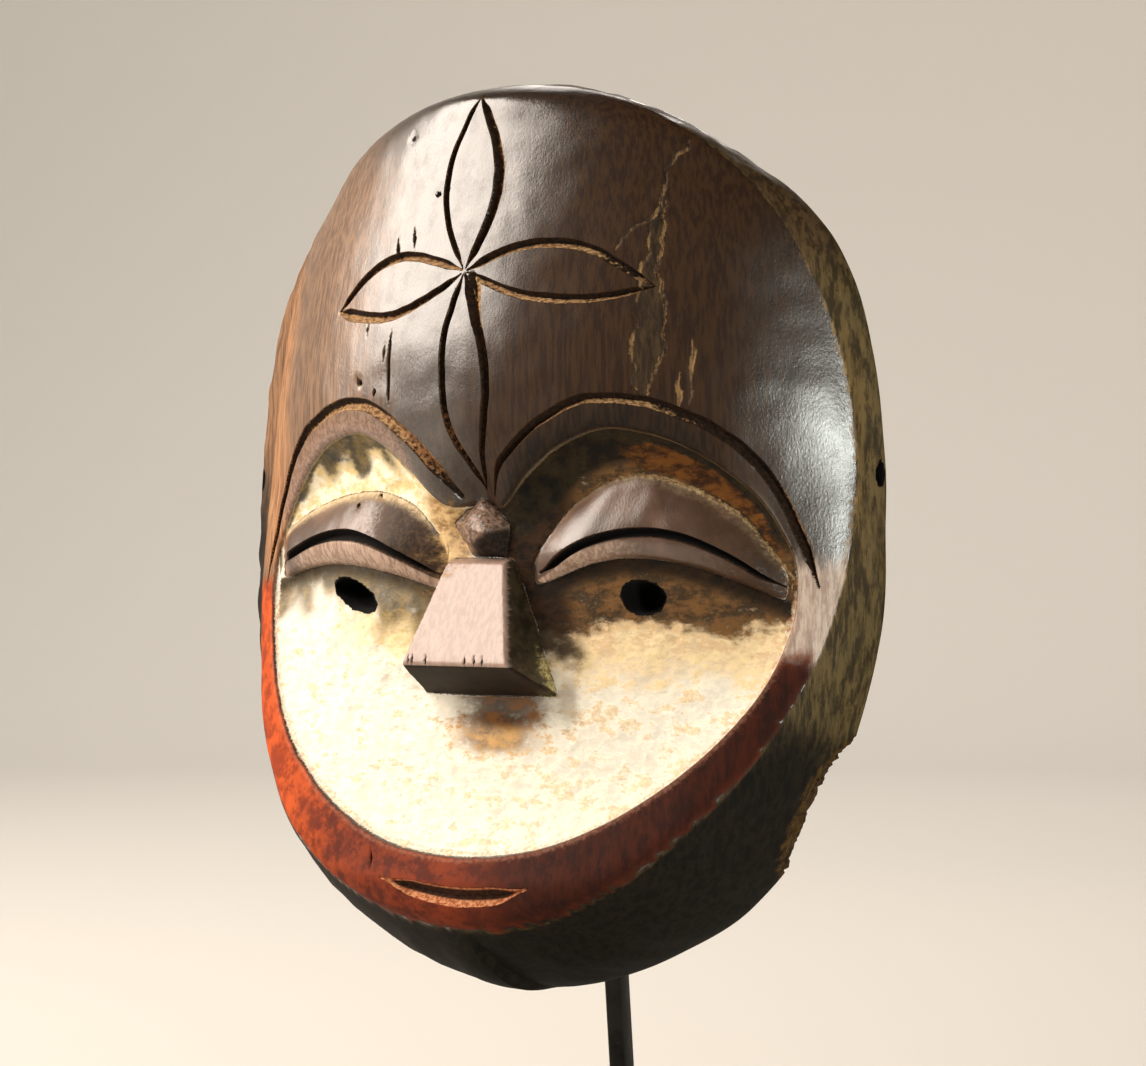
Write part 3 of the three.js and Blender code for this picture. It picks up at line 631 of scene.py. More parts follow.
def frontMesh():
    # every cut gets a line along its bottom, and each one wider than 1.5 mm a line along each edge, so that it
    # stays crisp
    lines = []
    for cut in flower + brows + slits + [mouth] + scars + nicks:
        lines.append(cut[0])
        if max(cut[1]) > 1.5:
            lines += cutEdges(cut)
    circle = np.linspace(0, turn, 160, endpoint=False)
    circle = np.stack([np.cos(circle), np.sin(circle)], axis=1)
    noseFoot = reachOut(circle, lambda p: noseDepth(p) > carvedFace(p)[0], (1, -42), 60)
    knobFoot = reachOut(circle[::2], lambda p: knobDepth(p) > carvedFace(p)[0], knobMiddle, 20)
    for points in [faceLine, noseFoot, knobFoot] + lidOutlines:
        lines.append(np.vstack([points, points[:1]]))
    corners = {
        "a": (-topHalf, topZ), "b": (topHalf, topZ), "c": (frontRight, frontZ), "d": (frontLeft, frontZ),
        "e": (nose["rightFoot"], footZ), "f": (-nose["leftFoot"], footZ),
    }
    for pair in ("ab", "bc", "cd", "da", "ce", "df"):
        a, b = (np.array(corners[letter]) for letter in pair)
        lines.append(a + np.linspace(0, 1, 40)[:, None] * (b - a))
    corners = knob["corners"]
    for a, b in zip(corners, corners[1:] + corners[:1]):
        lines.append(np.linspace((knob["peak"][0], knob["peak"][2]), a, 14))
        lines.append(np.linspace(a, b, 18))
    # the points that fill the gaps, closer together near the lines
    cellSize = 2.0
    cells = {}
    for q in np.vstack([line[::2] for line in lines]):
        cells.setdefault((int(q[0] // cellSize), int(q[1] // cellSize)), []).append(q)

    def nearLine(points, limit):
        near = np.zeros(len(points), bool)
        keys = np.floor(points / cellSize).astype(int)
        order = np.lexsort(keys.T)
        keys, points = keys[order], points[order]
        starts = np.concatenate([[0], np.where(np.any(np.diff(keys, axis=0), axis=1))[0] + 1, [len(keys)]])
        span = math.ceil(limit / cellSize)
        for a, b in zip(starts[:-1], starts[1:]):
            i, j = keys[a]
            steps = range(-span, span + 1)
            around = [q for di in steps for dj in steps for q in cells.get((i + di, j + dj), ())]
            if around:
                gap = np.linalg.norm(points[a:b, None] - np.array(around)[None], axis=2).min(axis=1)
                near[order[a:b]] = gap < limit
        return near

    fine, medium, coarse = (hexPoints(spacing, seed) for seed, spacing in enumerate(finish["spacings"]))
    start, end = finish["fineBand"]
    fine = fine[nearLine(fine, end)]
    fine = fine[~nearLine(fine, start)]
    start, end = finish["mediumBand"]
    onFace = insideOutline(medium, faceLine[::4]) > 0
    medium = medium[(nearLine(medium, end) | onFace) & ~nearLine(medium, start)]
    coarse = coarse[~nearLine(coarse, finish["coarseFrom"])]
    coarse = coarse[insideOutline(coarse, faceLine[::4]) < 0.4]
    filling = np.vstack([fine, medium, coarse])
    filling = filling[insideRidge(filling * 1.012)]  # none too near the ridge
    points = [ridge]
    edges = [(i, (i + 1) % len(ridge)) for i in range(len(ridge))]
    count = len(ridge)
    for line in lines:
        points.append(line)
        edges += [(count + i, count + i + 1) for i in range(len(line) - 1)]
        count += len(line)
    points.append(filling)
    everything = [Vector(q) for q in np.vstack(points).tolist()]
    verts, _, faces, origins, _, _ = delaunay_2d_cdt(everything, edges, [], 0, 1e-4)
    verts = np.array([tuple(v) for v in verts])
    faces = np.array(faces)
    faces = faces[insideOutline(verts[faces].mean(axis=1), ridge) > 0]
    place = {}
    for number, sources in enumerate(origins):
        for source in sources:
            place[source] = number
    border = [place[i] for i in range(len(ridge))]
    return verts, faces, border


flat, faces, border = frontMesh()
print("mask: front has", len(flat), "points and", len(faces), "triangles")
depth, facts = surface(flat)
# the clay in the sunk face is a thick flaky crust
onClay = smoothStep(facts["faceIn"], 0.6, 2.5) * (facts["lidLift"] < -0.2)
onClay *= (facts["noseLift"] < -0.3) * (facts["knobLift"] < -0.3)
crust = np.array([fractal(Vector((a / 7, b / 4.5, 0.3)), 0.9, 2.1, 4) for a, b in flat])
lumps = np.array([fractal(Vector((a / 2.6, b / 1.9, 4.7)), 0.8, 2.0, 2) for a, b in flat])
depth += onClay * (finish["crust"] * smoothStep(crust, -0.12, 0.1) + finish["lumps"] * np.clip(lumps, -1, 1))
positions = [np.stack([flat[:, 0], -depth, flat[:, 1]], axis=1)]
triangles = [faces]


def joinRings(first, second):
    first, second = np.array(first), np.array(second)
    nextFirst, nextSecond = np.roll(first, -1), np.roll(second, -1)
    triangles.append(np.stack([first, second, nextSecond], axis=1))
    triangles.append(np.stack([first, nextSecond, nextFirst], axis=1))


def addRing(points):
    start = sum(len(block) for block in positions)
    positions.append(points)
    return list(range(start, start + len(points)))


# the sides run from the ridge to the flat back edge, cut with a broad blade
start = np.stack([ridge[:, 0], -blockDepth(ridge * 0.99999), ridge[:, 1]], axis=1)
positions[0][border] = start
end = np.stack([back[:, 0], np.zeros(ringCount), back[:, 1]], axis=1)
outwards = np.stack([directions[:, 0], np.zeros(ringCount), directions[:, 1]], axis=1)
chord = end - start
chord /= np.linalg.norm(chord, axis=1)[:, None]
outwards -= (outwards * chord).sum(axis=1)[:, None] * chord
outwards /= np.linalg.norm(outwards, axis=1)[:, None]
chin = np.where(directions[:, 0] < 0, mask["chinBulgeLeft"], mask["chinBulgeRight"])
bulge = mask["sideBulge"] + chin * np.maximum(0, -directions[:, 1]) ** 2
previous = border
around = np.linspace(0, run[-1], ringCount, endpoint=False)
for row in range(1, finish["sideRows"] + 1):
    share = row / finish["sideRows"]
    spot = np.stack([around, np.full(ringCount, share * 30)], axis=1)
    strokes = waves(spot, 15, 21, stretch=(1, 2)) + 0.5 * waves(spot, 5, 22, stretch=(1, 3))
    push = bulge * 4 * share * (1 - share)
    push += mask["sideMarks"] * strokes * min(1, 4 * share, 4 * (1 - share) + 0.2)
    ring = addRing(start + (end - start) * share + outwards * push[:, None])
    joinRings(previous, ring)
    previous = ring
# the back edge is flat
hollowEdge = back / np.linalg.norm(back, axis=1)[:, None]
hollowEdge = hollowEdge * (np.linalg.norm(back, axis=1) - mask["wallAtBackEdge"])[:, None]
for row in range(1, finish["rimRows"] + 1):
    share = row / finish["rimRows"]
    spot = back + (hollowEdge - back) * share
    lift = mask["backMarks"] * waves(spot, 9, 31) * (row < finish["rimRows"])
    ring = addRing(np.stack([spot[:, 0], -np.abs(lift), spot[:, 1]], axis=1))
    joinRings(previous, ring)
    previous = ring
# the hollow was cut with a round gouge
for row in range(1, finish["hollowRows"] + 1):
    share = 1 - (row / finish["hollowRows"]) ** 1.15 if row < finish["hollowRows"] else 0.012
    spot = hollowEdge * share
    deep = innerDepth(spot * 0.9995)
    gouges = mask["hollowMarks"] * (np.abs(waves(spot, 15, 41, stretch=(1, 2))) - 0.5)
    deep += gouges * smoothStep(1 - share, 0, 0.06)
    ring = addRing(np.stack([spot[:, 0], -deep, spot[:, 1]], axis=1))
    joinRings(previous, ring)
    previous = ring
centre = addRing(np.array([[0, -innerDepth(np.array([[0.01, 0.01]]))[0], 0]]))[0]
triangles.append(np.stack([np.array(previous), np.full(ringCount, centre), np.roll(previous, -1)], axis=1))
positions = np.vstack(positions)
triangles = np.vstack(triangles)


def meshObject(name, points, faces):
    # from mm round the mask's centre to its place in the scene
    mesh = bpy.data.meshes.new(name)
    mesh.from_pydata((points * 0.001 + (0, 0, maskHeight / 1000)).tolist(), [], faces.tolist())
    mesh.validate()
    made = bpy.data.objects.new(name, mesh)
    bpy.context.collection.objects.link(made)
    return made


def choose(made):
    bpy.ops.object.select_all(action="DESELECT")
    made.select_set(True)
    bpy.context.view_layer.objects.active = made


def applyModifier(made, kind, name, **values):
    choose(made)
    modifier = made.modifiers.new(name, kind)
    for key, value in values.items():
        setattr(modifier, key, value)
    bpy.ops.object.modifier_apply(modifier=name)


def outwardFaces(made):
    choose(made)
    bpy.ops.object.mode_set(mode="EDIT")
    bpy.ops.mesh.select_all(action="SELECT")
    bpy.ops.mesh.normals_make_consistent(inside=False)
    bpy.ops.object.mode_set(mode="OBJECT")


maskPiece = meshObject("carvedMask", positions, triangles)
outwardFaces(maskPiece)
print("mask: shell has", len(triangles), "triangles")

# wear has rounded the ridge and the back edge
soft = maskPiece.vertex_groups.new(name="soft")


def ringRow(row):
    # the points of one ring of the sides, counted from the ridge
    start = len(flat) + row * ringCount
    return list(range(start, start + ringCount))


soft.add(border + ringRow(0), 1.0, "REPLACE")
soft.add(np.where(insideOutline(flat, ridge) < 1.6)[0].tolist(), 0.8, "REPLACE")
last = finish["sideRows"] - 1
soft.add(ringRow(last - 1) + ringRow(last) + ringRow(last + 1), 0.7, "REPLACE")
applyModifier(maskPiece, "SMOOTH", "wear", vertex_group="soft", factor=0.5, iterations=finish["ridgeSoftness"])


def loftObject(name, sections):
    # a closed solid through equal rings of points
    sections = np.array(sections)
    rings, count = sections.shape[:2]
    points = np.vstack([sections.reshape(-1, 3), sections[0].mean(axis=0), sections[-1].mean(axis=0)])
    faces = []
    for j in range(count):
        n = (j + 1) % count
        faces.append((rings * count, n, j))
        faces.append((rings * count + 1, (rings - 1) * count + j, (rings - 1) * count + n))
        for i in range(rings - 1):
            a, b = i * count + j, i * count + n
            faces += [(a, b, b + count), (a, b + count, a + count)]
    made = meshObject(name, points, np.array(faces))
    outwardFaces(made)
    return made


def cutAway(made, cutter):
    applyModifier(made, "BOOLEAN", "cut", operation="DIFFERENCE", object=cutter, solver="EXACT")
    bpy.data.objects.remove(cutter)


def eyeHoleRadius(depth):
    start, run = face["eyeHoleRun"]
    taper = (face["eyeHoleFront"] - face["eyeHoleBack"]) / run
    return (face["eyeHoleBack"] + taper * (depth - start)) / 2


# eye holes narrow towards the hollow, and their edges are uneven
ringSteps = np.linspace(0, turn, 48, endpoint=False)
for side in (-1, 1):
    x, z = face["eyeHole"]
    wide, high, slant = face["eyeOvals"][side]
    sections = []
    for depthNow in np.linspace(4, 56, 14):
        uneven = 1 + 0.03 * np.sin(3 * ringSteps + side) + 0.02 * np.sin(5 * ringSteps + depthNow / 5)
        radius = eyeHoleRadius(depthNow) * uneven
        up = high * radius * np.sin(ringSteps)
        across = wide * radius * np.cos(ringSteps) + slant * up
        sections.append(np.stack([side * x + across, np.full(48, -depthNow), z + up], axis=1))
    cutAway(maskPiece, loftObject("eyeCutter", sections))
    sections = []
    for reachNow in np.linspace(tieHole["from"], tieHole["to"], 9):
        across = -tieHole["depth"] + tieHole["width"] / 2 * np.cos(ringSteps)
        up = tieHole["z"] + tieHole["height"] / 2 * np.sin(ringSteps)
        sections.append(np.stack([np.full(48, side * reachNow), across, up], axis=1))
    cutAway(maskPiece, loftObject("tieCutter", sections))
print("mask: holes are cut")

# the broken back edge: a rough wall that follows the grain
breakLine = smoothLine(damage["breakLine"], spacing=0.9)
rough = np.random.default_rng(7)
sections = []
for number, (x, z) in enumerate(breakLine):
    jag = 0.35 * rough.normal() * (1 < number < len(breakLine) - 2)
    wallSteps = np.linspace(-4, damage["breakDepth"], 25)
    wall = [(x + jag + damage["breakLean"] * d + 0.22 * rough.normal(), -d, z) for d in wallSteps]
    outside = x + 34
    sections.append(wall + [(outside, -damage["breakDepth"], z), (outside, 4.5, z)])
cutAway(maskPiece, loftObject("breakCutter", sections))
choose(maskPiece)
bpy.ops.object.mode_set(mode="EDIT")
bpy.ops.mesh.select_all(action="SELECT")
bpy.ops.mesh.remove_doubles(threshold=0.00002)
bpy.ops.mesh.quads_convert_to_tris()
bpy.ops.object.mode_set(mode="OBJECT")
bpy.ops.object.shade_smooth_by_angle(angle=math.radians(38))
mesh = maskPiece.data
where = np.empty(len(mesh.vertices) * 3)
mesh.vertices.foreach_get("co", where)
where = np.clip(where.reshape(-1, 3), *np.array(startSize))  # the carved skin stays within the solid's size
mesh.vertices.foreach_set("co", where.ravel())
print("mask: finished with", len(maskPiece.data.polygons), "faces")

# where each finish lies on the finished mesh: 0 where it is missing and 1 where it covers
where = where * 1000 - (0, 0, maskHeight)
spot = where[:, [0, 2]]
x, z = spot.T
depth = -where[:, 1]
_, facts = surface(spot)
towardKey = np.empty(len(spot) * 3)
mesh.vertex_normals.foreach_get("vector", towardKey)
towardKey = towardKey.reshape(-1, 3) @ (-0.75, 0, 0.66)  # how far each point faces up and to the left, towards the key lamp; the cut walls so facing are painted light
low = z + waves(spot, 20, 91) + 0.8 * waves(spot, 5, 92)  # stains and painted shade end at uneven heights
ridgeIn = insideOutline(spot, ridge)
faceIn, noseLift, knobLift, groove = (facts[key] for key in ("faceIn", "noseLift", "knobLift", "groove"))
lidLift, topGap, belowLid, belowSlit = (facts[key] for key in ("lidLift", "lidTopGap", "belowLid", "belowSlit"))
isRight = smoothStep(x, -6, 6)
isLeft = 1 - isRight
backIn = backRadius(np.arctan2(z, x)) - np.linalg.norm(spot, axis=1)
inHollow = (depth < innerDepth(spot) + 2.4) & (ridgeIn > -5) & (backIn > 8)
inHollow |= depth < 0.4  # the flat back edge is bare wood too
outer = ~inHollow
front = smoothStep(ridgeIn, -0.3, 0.5) * outer
clayed = smoothStep(faceIn, 0.1, 0.9) * smoothStep(-lidLift, -0.1, 0.25)
clayed *= smoothStep(-noseLift, 0.0, 0.35) * smoothStep(-knobLift, 0.0, 0.35) * front
wallGap = x - damage["breakLean"] * depth - np.interp(z, breakLine[::-1, 1], breakLine[::-1, 0])
wallGap[(z > breakLine[0, 1]) | (z < breakLine[-1, 1]) | (x < 60)] = 9
# painted shade: the walls of the eye holes and tie holes are painted near black, as dark as the shade inside
# them
holeShade = np.zeros(len(spot))
for side in (-1, 1):
    wide, high, slant = face["eyeOvals"][side]
    across, up = (spot - (side * face["eyeHole"][0], face["eyeHole"][1])).T
    fromAxis = np.hypot((across - slant * up) / wide, up / high)
    holeShade = np.maximum(holeShade, smoothStep(eyeHoleRadius(depth) * 1.06 - fromAxis, -0.1, 0.15))
across, up = (depth - tieHole["depth"]) / tieHole["width"], (z - tieHole["z"]) / tieHole["height"]
holeShade = np.maximum(holeShade, (2 * np.hypot(across, up) < 1.06) & (np.abs(x) > 85))
eyeZone = smoothStep(low, -44, -33) * smoothStep(z, -6, -16)
isSide = 1 - smoothStep(ridgeIn, -0.6, 0.5)
onFront = front * smoothStep(-faceIn, -0.4, 0.5)
onLid = front * smoothStep(lidLift, 0, 0.3)
onNose = front * smoothStep(noseLift, 0, 0.4)
noseEdge = np.interp(z, (footZ, frontZ, topZ), (nose["rightFoot"], frontRight, topHalf))
noseSide = smoothStep(x - noseEdge, -0.1, 0.5)
noseUnderShade = smoothStep(-z, 49.3, 50) * (1 - noseSide)
besideNose = x - np.interp(z, (footZ, frontZ, topZ, 0), (nose["rightFoot"], frontRight + 3, 13, 9))
besideNose -= 8 * smoothStep(z, -32, -14)
clayLeft, clayRight = clayed * isLeft, clayed * isRight


def within(share, *ramps):
    # a share of the surface, faded in for each value from where it starts to where it is full
    for value, start, full in ramps:
        share = share * smoothStep(value, start, full)
    return share


# the sockets' rims have lost their clay, and the left socket is stained at its top and below its lid; along its
# rim under the brow, shade is painted
rimBare = within(np.maximum(isRight, smoothStep(-x, 16, 26)), (z, -22, -8), (faceIn, 3.2, 1.2))
socketTop = within(isLeft, (topGap + 3 * waves(spot, 16, 94), 5, 14), (x, -22, -40))
socketRimShade = within(0.9, (faceIn, 3, 0.6), (x, -16, -26))
oilReach = belowLid + 3 * waves(spot, 12, 93) - 6 * smoothStep(x, -60, -34)
covers = {
    # wood of the front, then of the sides, some of it with painted highlight, sheen or shade
    # lighter worn wood on the left of the forehead, made lighter still to carry the key lamp's highlight
    # further left: partly painted highlight
    "worn": within(front * (1 - 0.6 * smoothStep(z, 95, 125)), (x, -10, -62), (z, -30, 10)),
    "temple": within(front, (x, -78, -98), (z, -40, -10), (z, 110, 70)),
    "dusted": within(onFront * bell(np.maximum(0, -faceIn - 1), 5), (x, -16, -26), (z, -12, 0)),
    "dimWood": within(onFront, (x - 0.35 * (z - 40), -14, 26), (x, 100, 66), (z, -14, 4)),
    # painted shade: the right brow band, turned from the key lamp, is painted near black
    "browShade": within(onFront * bell(np.maximum(0, -faceIn), 8), (x, 4, 14), (z, -14, 4), (x, 84, 66)),
    "side": isSide,
    "leftSide": within(isSide, (x, -20, -60), (z, -40, -20)),
    # painted shade: the lower sides and the chin's underside are painted near black, as dark as they fall in
    # shade
    "underShade": within(isSide, (-z - 0.35 * x, 8, 62)),
    "ridgeLine": within(bell(ridgeIn - 0.1, 0.5), (x, 60, 90), (z, -60, -30), (z, 90, 50)),
    "sideTop": within(isSide, (z, 40, 100)),
    # a light clay smear on the right jaw, painted light enough to carry the rim lamp's sheen there: partly
    # painted sheen
    "smearAndSheen": within(onFront, (x, 66, 84), (z, -58, -44), (z, -12, -26)),
    # the red band, lighter where the key lamp falls on its left and darker in the shade on its right
    "red": within(onFront, (z, -21 - 19 * isRight, -31 - 21 * isRight), (ridgeIn, -0.4, 0.8)),
    # painted light: the red is brighter on the left, where the key lamp falls
    "redPaintedLight": within(onFront, (z, -21, -31), (x, -28, -88), (ridgeIn, -0.4, 0.8)),
    # dirt and painted shade: the red is darker on the right, away from the key lamp
    "redDirtAndShade": within(onFront, (z, -43, -53), (x, -10, 36), (ridgeIn, -0.4, 0.8)),
    "redEdge": within(onFront * bell(faceIn, 1.3), (z, -24, -40)),
    # nose and knob, with shade painted on the faces turned from the key lamp
    "noseFront": onNose * (1 - noseSide) * (1 - noseUnderShade),
    # painted shade: the nose's right side, turned from the key lamp, is painted near black
    "noseSide": onNose * noseSide,
    # painted shade: the nose's underside is painted near black
    "noseUnderShade": onNose * noseUnderShade,
    "noseFoot": within(front, (noseLift, -0.3, 0.2), (noseLift, 6, 1.5), (x, 18, 22), (z, -36, -52)),
    "knob": within(front, (knobLift, 0, 0.4)),
    # painted shade: the knob's lower and right facets, turned from the key lamp
    "knobShade": within(front, (knobLift, -0.2, 0.4), (0.4 * (x - 4) - z, 9.2, 12.4), (x, -5, 0)),
    # clay, its stains, and painted shade and shadows
    "clay": clayed * (1 - 0.95 * rimBare),
    "flecks": within(0.36 * clayed * (0.8 + 0.2 * isRight), (z, -28, -44)),
    "ochre": within(clayRight, (low, -68, -38)),
    "ochreLeft": within(clayLeft, (np.abs(low + 40), 14, 2), (x, -88, -20)),
    # stain round the right eye, darker to carry the shade falling there from the lids and brow: partly painted
    # shade
    "rightStainAndShade": clayRight * np.maximum(eyeZone, smoothStep(z, -34, -24)),
    "stainLeft": within(clayLeft, (belowLid, -1, 0), (oilReach, 19, 2)),
    "cream": within(clayLeft, (z, -30, -14), (z, -16, -4)),
    # a dark stain at the left socket's top, and painted shade along its rim under the brow
    "deepStainAndShade": within(clayed * np.maximum(socketTop, socketRimShade), (z, -16, -4)),
    # painted shadow: the right socket under the brow, where the brow's shadow falls, is painted near black
    "rightSocketShadow": within(clayRight, (z, -22, -8), (faceIn, 13, 7)),
    # painted shadow of the nose and knob, to their right
    "noseShade": within(clayRight, (besideNose, 19, 6), (low, -55, -44), (z, 14, 0)),
    # painted shadow just below the lids
    "underLidShadow": within(clayed * (0.75 + 0.25 * isRight), (belowLid, -1, 0), (belowLid, 8, 1)),
    "orange": within(clayRight, (z, -25, -10), (x, 40, 58), (topGap, 0.4, 2), (faceIn, 1.5, 5)),
    "crust": within(front * isRight * bell(topGap + 0.1, 0.7), (z, -30, -20), (x, 30, 60)),
    # lids, with painted shade on the ends turned from the key lamp and a painted highlight on the lower lids
    "lids": onLid,
    # painted shade: the lids' ends that are turned from the key lamp are darker
    "lidShade": onLid * np.maximum(within(isLeft, (x, -52, -28)), within(0.7 * isRight, (x, 58, 84))),
    # painted highlight on the lower lids, where the key lamp catches them
    "lidHighlight": within(onLid, (belowSlit, 1.2, 2.4), (np.abs(x + 8), 70 + 12 * isLeft, 40 + 22 * isLeft)),
    "lidClay": within(onLid * (1 - 0.7 * isRight), (topGap, -5, 0.5)),
    # stains round the nose, the nose's painted shadow below it, and the clay's chipped edge
    "nasion": within(np.maximum(clayed, 0.3 * front) * bell(x + 12, 9), (z, -34, -22), (z, 6, -2)),
    "underNose": within(clayed * bell(x - 6, 17), (z, -80, -72), (z, -60, -68)),
    "noseShadow": within(clayed * bell(x - 8, 20), (z, -72, -65), (z, -54, -58)),
    "smudge": clayed * bell(x - 30, 4) * bell(z + 60, 8),
    "flakyEdge": within(clayed, (faceIn, 3.2, 0.4), (z, -22, -34)),
    # cuts and damage, with painted light and shade in the cuts and holes
    # dirt in the cuts, painted near black so the walls turned from the lamp read as shade: partly painted shade
    "groove": within(outer, (groove, 0.02, 0.12)),
    "browDirt": within(0.8 * bell(x + 18, 22) * bell(z - 16, 14) * outer, (groove, 0.02, 0.2)),
    # sandy dust laid only on the cut walls that face the key lamp: partly painted light
    "grooveDustAndLight": within(outer, (groove, 0.02, 0.12), (towardKey, -0.08, 0.24)),
    # painted shade: the lid slits are painted near black, as dark as the shade deep inside them
    "slit": within(outer, (facts["slit"], 0.12, 0.4)),
    # the mouth cut is a sandy red, made lighter to carry the light on its lower wall (partly painted
    # highlight); its upper wall, which faces down, is painted near black: painted shade
    "mouth": within(outer, (facts["mouth"], 0.04, 0.2)),
    "mouthUpperShade": within(outer, (facts["mouth"], 0.2, 0.6), (z - np.interp(x, *mouth[0].T), -1.6, -0.4)),
    "flaked": facts["flaked"] * outer,
    "raw": 0.62 * facts["raw"] * outer,
    "split": within(outer, (facts["split"], 0.2, 0.6)),
    "broken": 1 - smoothStep(np.abs(wallGap), 0.5, 1.5),
    "hollow": inHollow.astype(float),
    "holeShade": holeShade,
}
for name, values in covers.items():
    layer = mesh.attributes.new(name, "FLOAT", "POINT")
    layer.data.foreach_set("value", np.ascontiguousarray(values, dtype=np.float32))
print("mask: finishes are laid out")

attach(maskPiece, "root")
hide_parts("mask")


def linearColour(code):
    parts = [int(code[i : i + 2], 16) / 255 for i in (1, 3, 5)]
    return [v / 12.92 if v <= 0.04045 else ((v + 0.055) / 1.055) ** 2.4 for v in parts] + [1]


def addNode(tree, kind, inputs=(), output=0, **settings):
    # adds a node, sets or links its inputs, and gives back one of its outputs
    node = tree.nodes.new("ShaderNode" + kind)
    for key, value in settings.items():
        setattr(node, key, value)
    for key, value in dict(inputs).items():
        if isinstance(value, bpy.types.NodeSocket):
            tree.links.new(value, node.inputs[key])
        else:
            node.inputs[key].default_value = linearColour(value) if isinstance(value, str) else value
    return node.outputs[output] if node.outputs else node


# a Mix node takes its factor at 0, numbers at 2 and 3, and colours at 6 and 7, and gives its colour at 2
mixColours = {"output": 2, "data_type": "RGBA"}
smooth = {"interpolation_type": "SMOOTHSTEP"}


def newMaterial(name):
    material = bpy.data.materials.new(name)
    material.use_nodes = True
    material.node_tree.nodes.clear()
    return material, material.node_tree
